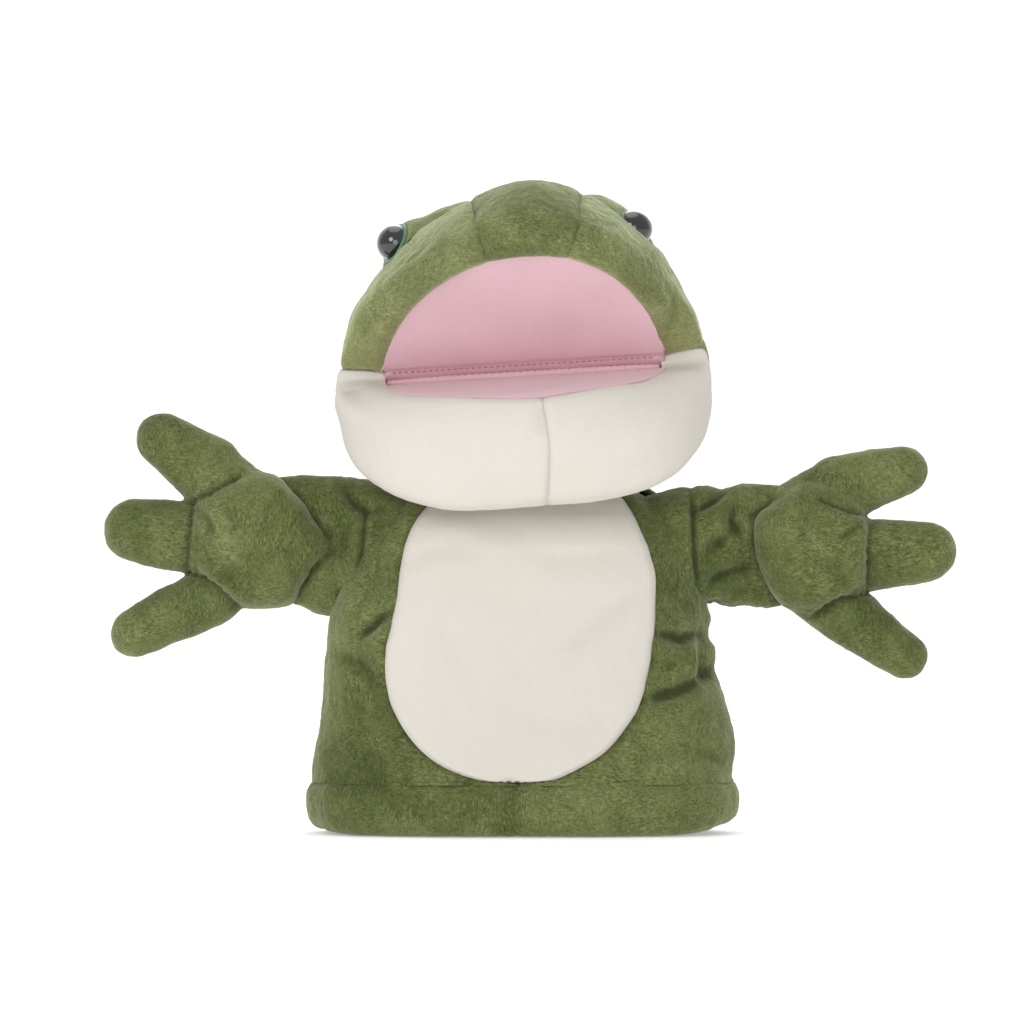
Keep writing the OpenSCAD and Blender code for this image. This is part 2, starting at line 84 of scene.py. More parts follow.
# floor that curves up behind the object
fl = bpy.data.meshes.new("floor")
ys = [-6, 1.2] + [1.2 + 1.2 * math.sin(a * math.pi / 24) for a in range(1, 13)] + [2.4]
zs = [0, 0] + [1.2 - 1.2 * math.cos(a * math.pi / 24) for a in range(1, 13)] + [6]
fv = [(x, y, z - 0.0002) for y, z in zip(ys, zs) for x in (-6, 6)]
fl.from_pydata(fv, [], [(2 * i, 2 * i + 1, 2 * i + 3, 2 * i + 2) for i in range(len(ys) - 1)])
for p in fl.polygons:
    p.use_smooth = True
floor = bpy.data.objects.new("floor", fl)
scene.collection.objects.link(floor)
fm = bpy.data.materials.new("floor_paper")
fm.use_nodes = True
fb = fm.node_tree.nodes["Principled BSDF"]
fb.inputs["Base Color"].default_value = (0.93, 0.93, 0.93, 1)
fb.inputs["Roughness"].default_value = 0.9
fb.inputs["Emission Color"].default_value = (1, 1, 1, 1)
fb.inputs["Emission Strength"].default_value = 0.36
fl.materials.append(fm)

# ------------------------------------------------------------------ numpy helpers, all in mm


def _hash(ix, iy, iz, seed):
    n = (ix * 374761393 + iy * 668265263 + iz * 1274126177 + seed * 974634777) & 0xFFFFFFFF
    n = ((n ^ (n >> 13)) * 1274126177) & 0xFFFFFFFF
    n = (n ^ (n >> 16)) & 0xFFFF
    return n / 32767.5 - 1.0


def vnoise(P, s, seed=0):
    q = np.asarray(P, float) / np.asarray(s, float)
    i = np.floor(q).astype(np.int64)
    f = q - i
    f = f * f * (3 - 2 * f)
    out = 0
    for dx in (0, 1):
        wx = f[..., 0] if dx else 1 - f[..., 0]
        for dy in (0, 1):
            wy = f[..., 1] if dy else 1 - f[..., 1]
            for dz in (0, 1):
                wz = f[..., 2] if dz else 1 - f[..., 2]
                out = out + wx * wy * wz * _hash(i[..., 0] + dx, i[..., 1] + dy, i[..., 2] + dz, seed)
    return out


def fbm(P, s, seed=0, octaves=3):
    out, a = 0, 1.0
    for k in range(octaves):
        out = out + a * vnoise(P, np.asarray(s, float) / 2 ** k, seed + 17 * k)
        a *= 0.5
    return out


def smooth_table(xs, ys, x):
    """Monotone cubic through a small table."""
    xs, ys, x = np.asarray(xs, float), np.asarray(ys, float), np.clip(x, xs[0], xs[-1])
    h = np.diff(xs)
    d = np.diff(ys) / h
    m = np.zeros_like(ys)
    m[0], m[-1] = d[0], d[-1]
    for k in range(1, len(xs) - 1):
        if d[k - 1] * d[k] > 0:
            w1, w2 = 2 * h[k] + h[k - 1], h[k] + 2 * h[k - 1]
            m[k] = (w1 + w2) / (w1 / d[k - 1] + w2 / d[k])
    i = np.clip(np.searchsorted(xs, x, side="right") - 1, 0, len(xs) - 2)
    t = (x - xs[i]) / h[i]
    return ((2 * t ** 3 - 3 * t ** 2 + 1) * ys[i] + (t ** 3 - 2 * t ** 2 + t) * h[i] * m[i]
            + (-2 * t ** 3 + 3 * t ** 2) * ys[i + 1] + (t ** 3 - t ** 2) * h[i] * m[i + 1])


def pw(v, q):
    return np.sign(v) * np.abs(v) ** q


def polyline_dist(X, Z, pts):
    """Distance from points (X, Z) to a polyline, and how far along it, 0 to 1."""
    pts = np.asarray(pts, float)
    best = np.full(np.shape(X), 1e9)
    along = np.zeros(np.shape(X))
    L = np.concatenate([[0], np.cumsum(np.hypot(*np.diff(pts, axis=0).T))])
    for k in range(len(pts) - 1):
        a, b = pts[k], pts[k + 1]
        d = b - a
        t = np.clip(((X - a[0]) * d[0] + (Z - a[1]) * d[1]) / (d @ d), 0, 1)
        r = np.hypot(X - a[0] - t * d[0], Z - a[1] - t * d[1])
        w = r < best
        best = np.where(w, r, best)
        along = np.where(w, (L[k] + t * (L[k + 1] - L[k])) / L[-1], along)
    return best, along


def U(*pts):
    """Points of the front view, counted on a 1024 grid, as mm in x and z."""
    return [((a - 530.5) / 2.659, (832.5 - b) / 2.659) for a, b in pts]


def groove(P, pts, depth, width, taper=True):
    d, s = polyline_dist(P[..., 0], P[..., 2], pts)
    e = np.sin(np.clip(s, 0.02, 0.98) * math.pi) ** 0.5 if taper else 1.0
    return -depth * e * np.exp(-(d / width) ** 2) + 0.35 * depth * e * np.exp(-((d - 2.0 * width) / (1.2 * width)) ** 2)


def normals(G, wrap):
    if wrap:
        H = np.concatenate([G[:, -1:], G, G[:, :1]], 1)
        dv = (H[:, 2:] - H[:, :-2])
    else:
        dv = np.gradient(G, axis=1)
    du = np.gradient(G, axis=0)
    n = np.cross(du, dv)
    L = np.linalg.norm(n, axis=-1, keepdims=True)
    n = n / np.maximum(L, 1e-9)
    bad = L[..., 0] < 1e-7
    if bad.any():
        n[bad] = 0
    return n


def make(name, V, F, mat=None):
    me = bpy.data.meshes.new(name)
    me.from_pydata((np.asarray(V, float) * 0.001).tolist(), [], F)
    me.update()
    me.polygons.foreach_set("use_smooth", [True] * len(me.polygons))
    o = bpy.data.objects.new(name, me)
    scene.collection.objects.link(o)
    if mat:
        me.materials.append(mat)
    return o


def grid_quads(m, n, wrap, base=0, flip=False):
    i = np.arange(m - 1)[:, None]
    j = np.arange(n if wrap else n - 1)[None, :]
    k = (j + 1) % n
    a, b, c, d = base + i * n + j, base + i * n + k, base + (i + 1) * n + k, base + (i + 1) * n + j
    q = np.stack([a + 0 * b, b + 0 * a, c, d], -1).reshape(-1, 4)
    return (q[:, ::-1] if flip else q).tolist()


def edge_dists(G):
    """Distance in mm from each grid point to the four sides: first row, last row, first column, last column."""
    du = np.linalg.norm(np.diff(G, axis=0), axis=-1)
    dv = np.linalg.norm(np.diff(G, axis=1), axis=-1)
    cu = np.concatenate([np.zeros((1, G.shape[1])), np.cumsum(du, 0)], 0)
    cv = np.concatenate([np.zeros((G.shape[0], 1)), np.cumsum(dv, 1)], 1)
    return cu, cu[-1:] - cu, cv, cv[:, -1:] - cv


def nap(P, seed=0, amp=1.0):
    """Small ups and downs of brushed pile, stretched along its lie."""
    return amp * (0.22 * vnoise(P, (1.7, 1.7, 2.6), seed) + 0.25 * vnoise(P, (4.5, 4.5, 7), seed + 5)
                  + 0.35 * vnoise(P, (13, 13, 16), seed + 9))


def area_of(G):
    a = np.linalg.norm(np.cross(G[1:, :-1] - G[:-1, :-1], G[:-1, 1:] - G[:-1, :-1]), axis=-1)
    return float(a.sum()) * 1e-6


def blur(d, times, wrap):
    for _ in range(times):
        e = np.concatenate([d[:1], d, d[-1:]], 0)
        d = (e[:-2] + e[1:-1] + e[2:]) / 3
        e = np.concatenate([d[:, -1:], d, d[:, :1]], 1) if wrap else np.concatenate([d[:, :1], d, d[:, -1:]], 1)
        d = (e[:, :-2] + e[:, 1:-1] + e[:, 2:]) / 3
    return d


def set_attr(o, name, values):
    a = o.data.attributes.new(name, "FLOAT", "POINT")
    a.data.foreach_set("value", np.asarray(values, float).ravel())


EYE_AT = np.array([45.6, 3.4, 52.9])
EYE_DIR = np.array([0.80, -0.36, 0.42]) / np.linalg.norm([0.80, -0.36, 0.42])


def eye_seat(P, side, lo, hi):
    """Press the cloth flat under an eye's rim, easing off round it."""
    k = np.array([side, 1, 1])
    c, s_ = math.cos(math.radians(3.5)), math.sin(math.radians(3.5))
    R = np.array([[c, 0, -s_], [0, 1, 0], [s_, 0, c]])
    at = R @ (EYE_AT * k) + np.array([-2.8, 4.0, 172.0])
    dr = R @ (EYE_DIR * k)
    q = P - at
    h = q @ dr
    rho = np.linalg.norm(q - h[..., None] * dr, axis=-1)
    w = np.clip((14.5 - rho) / 6.0, 0, 1)
    w = w * w * (3 - 2 * w) * (np.abs(h) < 16)
    return P + dr * ((np.clip(h, lo, hi) - h) * w)[..., None]


def panel(name, G, ref, mat, thick=1.8, wrap=False, pull="", depth=1.1, width=2.2, amp=1.0, seed=1, extra=None, puff=0.0, fade=None, rim=None, dark=1.0, seat=None):
    """A fabric panel: outer grid moved by its seams, folds and pile, a wall behind it, closed at its sides.
    pull names the sides sewn down (t, b, l, r), or gives each its depth."""
    G = np.asarray(G, float)
    m, n = G.shape[:2]
    N = normals(G, wrap)
    s = np.sign(np.sum(N * (G - np.asarray(ref, float))))
    N = N * s
    d = nap(G, seed, amp)
    e0, e1, e2, e3 = edge_dists(G)
    near = np.full((m, n), 1e9)
    sides = pull if isinstance(pull, dict) else {c: depth for c in pull}
    for side, e in zip("tblr", (e0, e1, e2, e3)):
        if side in sides:
            near = np.minimum(near, e)
            d = d - sides[side] * np.exp(-(e / width) ** 2)
    if sides:
        d = d + puff * (1 - np.exp(-near / (4 * width)))
    if extra is not None:
        d = d + extra(G, N)
    if fade is not None:
        d = d * fade
    O = G + N * d[..., None]
    I = G - N * thick + N * (d * 0.6)[..., None]
    if seat is not None:
        O = eye_seat(O, seat[0], seat[1], seat[2])
        I = eye_seat(I, seat[0], seat[1] - 0.9, seat[2] - 0.9)
    # painted shade: points that sink below their blurred surroundings, in folds, seams and creases, get a shade value
    # scaled by dark, and the material darkens the colour by it
    shade_paint = np.clip((blur(d, 14, wrap) - d) / 1.5 * dark, 0, 1)
    V = np.concatenate([O.reshape(-1, 3), I.reshape(-1, 3)])
    k = m * n
    flip = s < 0
    F = grid_quads(m, n, wrap, 0, flip) + grid_quads(m, n, wrap, k, not flip)
    jn = n if wrap else n - 1
    edge = []
    for j in range(jn):
        q = (j + 1) % n
        edge.append([j, k + j, k + q, q])
        a = (m - 1) * n
        edge.append([a + j, a + q, k + a + q, k + a + j])
    if not wrap:
        for i in range(m - 1):
            edge.append([i * n, (i + 1) * n, k + (i + 1) * n, k + i * n])
            edge.append([i * n + n - 1, k + i * n + n - 1, k + (i + 1) * n + n - 1, (i + 1) * n + n - 1])
    if flip:
        edge = [r[::-1] for r in edge]
    o = make(name, V, F + edge, mat)
    set_attr(o, "painted_shade", np.concatenate([shade_paint.ravel(), shade_paint.ravel()]))
    # painted highlight: the rim values mark where a rim of light is painted into the colour; zero where none is given
    set_attr(o, "rim", np.concatenate([rim.ravel(), rim.ravel()]) if rim is not None else np.zeros(2 * k))
    bm = bmesh.new()
    bm.from_mesh(o.data)
    bmesh.ops.recalc_face_normals(bm, faces=bm.faces)
    bm.to_mesh(o.data)
    bm.free()
    o.data.polygons.foreach_set("use_smooth", [True] * len(o.data.polygons))
    o["pattern"] = [float(max(e2[:, -1].max(), 1)) * 1e-3, float(e0[-1].max()) * 1e-3, area_of(G)]
    return o


def declare_sheet(o):
    w, l, a = o["pattern"]
    a = min(a, w * l * 0.999)
    del o["pattern"]


# ------------------------------------------------------------------ materials


class Nodes:
    def __init__(self, name):
        self.mat = bpy.data.materials.new(name)
        self.mat.use_nodes = True
        self.t = self.mat.node_tree
        self.bsdf = self.t.nodes["Principled BSDF"]
        self.tc = self.t.nodes.new("ShaderNodeTexCoord")

    def new(self, kind, **kw):
        n = self.t.nodes.new(kind)
        for k, v in kw.items():
            setattr(n, k, v)
        return n

    def link(self, a, b):
        self.t.links.new(a, b)

    def mapping(self, scale, rot=(0, 0, 0)):
        m = self.new("ShaderNodeMapping")
        m.inputs["Scale"].default_value = scale
        m.inputs["Rotation"].default_value = rot
        self.link(self.tc.outputs["Object"], m.inputs["Vector"])
        return m.outputs["Vector"]

    def noise(self, vec, scale, detail=3, rough=0.55, dist=0.0):
        n = self.new("ShaderNodeTexNoise")
        n.inputs["Scale"].default_value = scale
        n.inputs["Detail"].default_value = detail
        n.inputs["Roughness"].default_value = rough
        n.inputs["Distortion"].default_value = dist
        self.link(vec, n.inputs["Vector"])
        return n.outputs["Fac"]

    def ramp(self, fac, stops):
        r = self.new("ShaderNodeValToRGB")
        r.color_ramp.elements[0].position = stops[0][0]
        r.color_ramp.elements[0].color = (*stops[0][1], 1)
        r.color_ramp.elements[1].position = stops[-1][0]
        r.color_ramp.elements[1].color = (*stops[-1][1], 1)
        for p, c in stops[1:-1]:
            e = r.color_ramp.elements.new(p)
            e.color = (*c, 1)
        self.link(fac, r.inputs["Fac"])
        return r.outputs["Color"]

    def mix(self, a, b, fac, mode="MIX"):
        m = self.new("ShaderNodeMix", data_type="RGBA", blend_type=mode)
        for sock, v in ((m.inputs[6], a), (m.inputs[7], b), (m.inputs[0], fac)):
            if isinstance(v, (int, float)):
                sock.default_value = v
            elif isinstance(v, tuple):
                sock.default_value = (*v, 1)
            else:
                self.link(v, sock)
        return m.outputs[2]

    def attr(self, name):
        a = self.new("ShaderNodeAttribute", attribute_name=name)
        return a.outputs["Fac"]

    def math(self, op, a, b=0.0):
        m = self.new("ShaderNodeMath", operation=op)
        for sock, v in ((m.inputs[0], a), (m.inputs[1], b)):
            if isinstance(v, (int, float)):
                sock.default_value = v
            else:
                self.link(v, sock)
        return m.outputs[0]

    def bump(self, height, strength, distance, prev=None):
        b = self.new("ShaderNodeBump")
        b.inputs["Strength"].default_value = strength
        b.inputs["Distance"].default_value = distance
        self.link(height, b.inputs["Height"])
        if prev is not None:
            self.link(prev, b.inputs["Normal"])
        return b.outputs["Normal"]


def plush(name, dark, mid, light, sheen=0.5, tint=(0.8, 0.85, 0.6), pile=1.0, contrast=1.0):
    """Short-pile plush: tufts that lie in streaks, over patches brushed different ways."""
    n = Nodes(name)
    warp = n.new("ShaderNodeTexNoise")
    warp.inputs["Scale"].default_value = 60
    warp.inputs["Detail"].default_value = 2
    n.link(n.tc.outputs["Object"], warp.inputs["Vector"])
    bend = n.new("ShaderNodeVectorMath", operation="MULTIPLY_ADD")
    n.link(warp.outputs["Color"], bend.inputs[0])
    bend.inputs[1].default_value = (0.007, 0.007, 0.007)
    n.link(n.tc.outputs["Object"], bend.inputs[2])

    def lay(scale, rot):
        m = n.new("ShaderNodeMapping")
        m.inputs["Scale"].default_value = scale
        m.inputs["Rotation"].default_value = rot
        n.link(bend.outputs[0], m.inputs["Vector"])
        return m.outputs["Vector"]

    tuft_a = n.noise(lay((1, 1, 0.30), (0.2, 0.35, 0.1)), 1900, 2, 0.6, 0.9)
    tuft_b = n.noise(lay((0.34, 1, 1), (0.0, 0.5, 0.3)), 1700, 2, 0.6, 0.9)
    which = n.noise(n.mapping((1, 1, 1)), 34, 2, 0.5)
    pick = n.new("ShaderNodeMapRange")
    pick.inputs["From Min"].default_value = 0.42
    pick.inputs["From Max"].default_value = 0.58
    n.link(which, pick.inputs["Value"])
    tuft = n.new("ShaderNodeMix", data_type="FLOAT")
    n.link(pick.outputs[0], tuft.inputs[0])
    n.link(tuft_a, tuft.inputs[2])
    n.link(tuft_b, tuft.inputs[3])
    tuft = tuft.outputs[0]
    clump = n.noise(lay((1, 1, 0.7), (0.1, 0.2, 0.4)), 620, 3, 0.6, 0.6)
    patch = n.noise(n.mapping((1, 1, 0.8)), 58, 3, 0.55, 0.9)
    broad = n.noise(n.mapping((1, 1, 1)), 17, 2, 0.5)
    # one height, about 0.5 in the middle
    h = n.math("MULTIPLY", n.math("SUBTRACT", tuft, 0.5), 1.55)
    h = n.math("ADD", h, n.math("MULTIPLY", n.math("SUBTRACT", clump, 0.5), 0.42))
    v = n.math("ADD", h, n.math("MULTIPLY", n.math("SUBTRACT", patch, 0.5), 0.62))
    v = n.math("ADD", v, n.math("MULTIPLY", n.math("SUBTRACT", broad, 0.5), 0.70))
    v = n.math("ADD", n.math("MULTIPLY", v, contrast), 0.5)
    base = n.ramp(v, [(0.08, tuple(0.62 * c for c in dark)), (0.30, dark), (0.52, mid), (0.76, light), (0.98, tuple(min(1, 1.3 * c) for c in light))])
    # painted highlight: the rim attribute lightens the colour towards a pale yellow-green, rim light painted along the
    # lip's edge and the cheeks' outer sides
    base = n.mix(base, tuple(min(1, 1.25 * c) for c in (light[0] * 1.12, light[1], light[2])), n.math("MULTIPLY", n.attr("rim"), 0.75))
    # painted shade: the shade attribute darkens the colour in folds and creases, fully on the green plush; on the cream
    # only the weaker mix below applies
    base = n.mix(base, tuple(0.42 * c for c in dark), n.math("MULTIPLY", n.attr("painted_shade"), 0.8 if contrast >= 1 else 0.0))
    if contrast < 1:
        base = n.mix(base, tuple(0.86 * c for c in dark), n.attr("painted_shade"))
    n.link(base, n.bsdf.inputs["Base Color"])
    nb = n.bump(h, 0.5 * pile, 0.0005)
    nb = n.bump(patch, 0.40 * pile, 0.004, nb)
    n.link(nb, n.bsdf.inputs["Normal"])
    n.bsdf.inputs["Roughness"].default_value = 0.95
    n.bsdf.inputs["Specular IOR Level"].default_value = 0.1
    n.bsdf.inputs["Sheen Weight"].default_value = sheen
    n.bsdf.inputs["Sheen Roughness"].default_value = 0.42
    n.bsdf.inputs["Sheen Tint"].default_value = (*tint, 1)
    return n.mat


M_BODY = plush("plush_green", (0.074, 0.090, 0.028), (0.118, 0.138, 0.048), (0.185, 0.208, 0.084), 0.55)
M_HEAD = plush("plush_green_head", (0.115, 0.136, 0.047), (0.172, 0.198, 0.076), (0.265, 0.295, 0.13), 0.95)
M_CROWN = plush("plush_green_crown", (0.098, 0.117, 0.040), (0.148, 0.170, 0.064), (0.228, 0.254, 0.108), 0.60)
M_CREAM = plush("plush_cream", (0.63, 0.592, 0.528), (0.675, 0.638, 0.576), (0.715, 0.685, 0.626), 0.10, (1, 0.98, 0.94), 0.10, 0.22)


def knit(name, col, sheen=0.3):
    """Fine knit: ribs running up the cloth, crossed by smaller stitches."""
    n = Nodes(name)
    w = n.new("ShaderNodeTexWave", wave_type="BANDS", bands_direction="X")
    w.inputs["Scale"].default_value = 300
    w.inputs["Distortion"].default_value = 1.2
    w.inputs["Detail"].default_value = 2
    w.inputs["Detail Scale"].default_value = 3
    n.link(n.mapping((1, 1, 1)), w.inputs["Vector"])
    cross = n.noise(n.mapping((1, 1, 1)), 900, 3, 0.6)
    cloud = n.noise(n.mapping((1, 1, 1)), 32, 2, 0.5)
    c = n.ramp(w.outputs["Fac"], [(0.0, tuple(0.972 * x for x in col)), (1.0, tuple(min(1, 1.02 * x) for x in col))])
    c = n.mix(c, n.ramp(cloud, [(0.3, tuple(0.92 * x for x in col)), (0.7, tuple(min(1, 1.06 * x) for x in col))]), 0.5)
    # painted shade: the shade attribute darkens the knit to a deeper pink in folds and towards the mouth's crease
    c = n.mix(c, (col[0] * 0.80, col[1] * 0.58, col[2] * 0.64), n.attr("painted_shade"))
    n.link(c, n.bsdf.inputs["Base Color"])
    nb = n.bump(w.outputs["Fac"], 0.12, 0.0003)
    nb = n.bump(cross, 0.3, 0.0004, nb)
    n.link(nb, n.bsdf.inputs["Normal"])
    n.bsdf.inputs["Roughness"].default_value = 0.85
    n.bsdf.inputs["Specular IOR Level"].default_value = 0.2
    n.bsdf.inputs["Sheen Weight"].default_value = sheen
    n.bsdf.inputs["Sheen Roughness"].default_value = 0.5
    return n.mat


M_PINK = knit("knit_pink", (0.725, 0.49, 0.54))
M_LINING = knit("tricot_lining", (0.12, 0.14, 0.07), 0.1)


def thread(name, col):
    n = Nodes(name)
    w = n.new("ShaderNodeTexWave", wave_type="BANDS", bands_direction="DIAGONAL")
    w.inputs["Scale"].default_value = 1600
    n.link(n.mapping((1, 1, 1)), w.inputs["Vector"])
    n.link(n.ramp(w.outputs["Fac"], [(0, tuple(0.75 * c for c in col)), (1, col)]), n.bsdf.inputs["Base Color"])
    n.link(n.bump(w.outputs["Fac"], 0.4, 0.0002), n.bsdf.inputs["Normal"])
    n.bsdf.inputs["Roughness"].default_value = 0.6
    return n.mat


M_THREAD = thread("thread_green", (0.07, 0.085, 0.03))
M_THREAD_PINK = thread("thread_pink", (0.42, 0.20, 0.25))
M_THREAD_CREAM = thread("thread_cream", (0.66, 0.60, 0.50))


def plastic(name, dark, light, rough, scale, coat=0.0, spec=0.5):
    n = Nodes(name)
    f = n.noise(n.mapping((1, 1, 1)), scale, 3, 0.6)
    n.link(n.ramp(f, [(0.3, dark), (0.7, light)]), n.bsdf.inputs["Base Color"])
    r = n.new("ShaderNodeMapRange")
    r.inputs["To Min"].default_value = rough * 0.8
    r.inputs["To Max"].default_value = rough * 1.25
    n.link(n.noise(n.mapping((1, 1, 1)), scale * 3, 2, 0.5), r.inputs["Value"])
    n.link(r.outputs[0], n.bsdf.inputs["Roughness"])
    n.link(n.bump(f, 0.05, 0.0002), n.bsdf.inputs["Normal"])
    n.bsdf.inputs["Coat Weight"].default_value = coat
    n.bsdf.inputs["Coat Roughness"].default_value = 0.03
    n.bsdf.inputs["Specular IOR Level"].default_value = spec
    return n.mat


M_EYE = plastic("eye_black", (0.006, 0.006, 0.008), (0.014, 0.013, 0.018), 0.10, 60, 1.0)
M_RIM = plastic("eye_rim_teal", (0.10, 0.24, 0.15), (0.20, 0.40, 0.27), 0.35, 240, 0.2)
M_WASHER = plastic("washer_white", (0.72, 0.72, 0.70), (0.82, 0.82, 0.80), 0.45, 180)


def board_mat():
    n = Nodes("board_grey")
    f = n.noise(n.mapping((1, 1, 3)), 420, 4, 0.65)
    n.link(n.ramp(f, [(0.3, (0.40, 0.37, 0.31)), (0.7, (0.56, 0.53, 0.46))]), n.bsdf.inputs["Base Color"])
    n.link(n.bump(f, 0.3, 0.0003), n.bsdf.inputs["Normal"])
    n.bsdf.inputs["Roughness"].default_value = 0.9
    return n.mat


M_BOARD = board_mat()


def dress(node, mat):
    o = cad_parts[node]
    o.data.materials.clear()
    o.data.materials.append(mat)


for s in ("left", "right"):
    dress(s + "_eye", M_EYE)
    dress(s + "_eye_rim", M_RIM)
    dress(s + "_eye_washer", M_WASHER)
for b in ("upper_mouth_board", "lower_mouth_board"):
    dress(b, M_BOARD)

# ------------------------------------------------------------------ torso
TZ = [17, 19, 28, 40, 55, 66, 81, 92, 100, 109, 117, 124, 129, 132.5, 134.5]
THW = [79.4, 79.0, 78.6, 77.2, 74.4, 72.8, 71.0, 68.2, 66, 62.8, 59.6, 55, 48.5, 41, 34.5]
THD = [40.8, 40.6, 39.8, 38.4, 36.8, 35.8, 34.2, 32.6, 31.2, 29.4, 27.2, 24.6, 23, 22, 21.4]
TCY = [0, 0, 0, 0, 0, 0, 0, 0.2, 0.5, 1, 1.6, 2.8, 4, 5.4, 6.6]
TCX = [-2.9, -2.9, -2.2, -1.4, -2.8, -3.4, -3.8, -3.2, -2.9, -2.8, -2.8, -2.8, -2.8, -2.8, -2.8]


def ring(z):
    return [smooth_table(TZ, T, z) for T in (THW, THD, TCY, TCX)]


def torso(z, t):
    """z in mm, t in radians; t = 0 at +X, pi/2 at the front."""
    hw, hd, cy, cx = ring(z)
    return np.stack([cx + hw * pw(np.cos(t), 0.8), cy - hd * pw(np.sin(t), 0.8), z + 0 * t], -1)


def t_at(z, x):
    hw, hd, cy, cx = ring(z)
    u = np.clip((x - cx) / hw, -1, 1)
    return np.arccos(pw(u, 1.25))


BL = U((493, 778.2), (465, 772), (437, 759), (415, 740), (399, 717), (390, 696), (386, 667), (387, 646), (392, 624), (398, 596), (401, 567), (406, 542), (415, 515), (429, 492), (440, 476))
BR = U((552, 776), (577, 765), (602, 750), (621, 730), (637, 705), (646, 677), (652, 642), (655, 611), (655, 580), (649, 552), (640, 524), (630, 495), (618, 476))
Z0 = 19.2
ZB = 20.4


def belly_x(z, side):
    P = BL if side < 0 else BR
    zz = [ZB - 0.3] + [p[1] for p in P]
    xx = [-2.5 + side * 1.0] + [p[0] for p in P]
    k = np.argsort(zz)
    lin = np.interp(z, np.array(zz)[k], np.array(xx)[k])
    sm = smooth_table(np.array(zz)[k], np.array(xx)[k], z)
    low = z < 24
    return np.where(low, sm * 0.5 + lin * 0.5, sm)


def rows_z(z0, z1, step, dense=0.35, upto=27):
    z, out = z0, []
    while z < z1:
        out.append(z)
        z += dense if z < upto else step
    return np.array(out + [z1])


# folds of the front, in front-view points
FOLDS = [
    (U((358, 640), (376, 624), (393, 606)), 3.0, 2.4),
    (U((340, 650), (362, 662), (380, 690)), 1.8, 4.2),
    (U((657, 632), (680, 638), (706, 630)), 3.6, 2.6),
    (U((645, 697), (676, 690), (700, 678), (716, 664)), 3.4, 2.8),
    (U((712, 632), (703, 646), (705, 664), (716, 684)), 3.4, 3.0),
    (U((664, 650), (668, 672), (662, 700)), 1.0, 4.0),
    (U((690, 748), (712, 756), (732, 772)), 1.4, 4.0),
    (U((345, 745), (372, 757), (398, 770)), 0.9, 4.5),
    (U((660, 560), (672, 590), (676, 618)), 1.2, 4.5),
    (U((384, 560), (374, 590), (368, 612)), 1.1, 4.5),
]
BELLY_FOLDS = [
    (U((402, 560), (440, 548), (482, 545)), 0.7, 4.0),
    (U((560, 652), (600, 622), (642, 590)), 0.9, 4.5),
    (U((420, 600), (450, 640), (470, 690)), 0.5, 6.0),
    (U((520, 720), (570, 730), (610, 716)), 0.5, 6.0),
    (U((520, 540), (560, 560), (630, 548)), 0.6, 5.0),
]


def front_folds(P, N):
    d = 0
    for pts, dep, wid in FOLDS:
        d = d + groove(P, pts, dep, wid) * (P[..., 1] < 6)
    # gathers rising from the hem seam
    g = np.exp(-(P[..., 2] - 19) / 9.0)
    d = d + g * (0.55 * vnoise(P * (1, 1, 0.15), (4.5, 6, 8), 31) + 0.5 * vnoise(P * (1, 1, 0.1), (10, 12, 8), 37))
    d = d + 1.1 * fbm(P, (34, 30, 42), 41, 2) * np.clip((P[..., 2] - 18) / 30, 0, 1)
    d = d - (2.8 * np.clip((P[..., 2] - 108) / 13, 0, 1) + 1.6 * np.clip((P[..., 2] - 120) / 7, 0, 1)) * np.clip((60 - np.abs(P[..., 0] + 2.8)) / 12, 0, 1)
    return d


def belly_folds(P, N):
    d = 0.5 + 0 * P[..., 0]
    for pts, dep, wid in BELLY_FOLDS:
        d = d + groove(P, pts, dep, wid)
    # drawn in a little under the chin
    return d + 0.6 * fbm(P, (40, 40, 34), 47, 2) - 2.8 * np.clip((P[..., 2] - 108) / 13, 0, 1) - 1.6 * np.clip((P[..., 2] - 120) / 7, 0, 1)


zr = rows_z(Z0, 134.4, 1.15)


def span(z, ta, tb, n):
    f = np.linspace(0, 1, n)[None, :]
    t = ta[:, None] + (tb - ta)[:, None] * f
    return torso(z[:, None] + 0 * t, t)


edge_l = t_at(zr, belly_x(zr, -1))
edge_r = t_at(zr, belly_x(zr, 1))
REF = (-2.8, 2, 70)
front_l = panel("body_front_left", span(zr, np.full_like(zr, math.pi), edge_l, 66), REF, M_BODY, pull="blr", seed=3, extra=front_folds, puff=0.3, dark=1.5)
front_r = panel("body_front_right", span(zr, edge_r, np.full_like(zr, 0.0), 66), REF, M_BODY, pull="blr", seed=4, extra=front_folds, puff=0.3, dark=1.5)
zb = rows_z(ZB, 134.4, 1.15)
belly = panel("belly", span(zb, t_at(zb, belly_x(zb, -1)), t_at(zb, belly_x(zb, 1)), 92), REF, M_CREAM, pull="tblr",
              depth=1.2, width=1.8, amp=0.35, seed=5, extra=belly_folds, puff=0.5)


def back_folds(P, N):
    g = np.exp(-(P[..., 2] - 19) / 9.0)
    return (g * (0.55 * vnoise(P * (1, 1, 0.15), (4.5, 6, 8), 51) + 0.5 * vnoise(P * (1, 1, 0.1), (10, 12, 8), 57))
            + 1.5 * fbm(P, (34, 30, 46), 61, 2) - 1.6 * np.exp(-((P[..., 0] + 2.8) / 2.0) ** 2))


zk = rows_z(Z0, 134.4, 1.3, 0.9)
back = panel("body_back", span(zk, np.full_like(zk, math.pi), np.full_like(zk, 2 * math.pi), 150), REF, M_BODY, pull="blr", seed=6, extra=back_folds, puff=0.4)
for o, n in ((front_l, "body_front_left_panel"), (front_r, "body_front_right_panel"), (belly, "belly_panel"), (back, "body_back_panel")):
    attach(o, "torso")
    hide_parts(n)

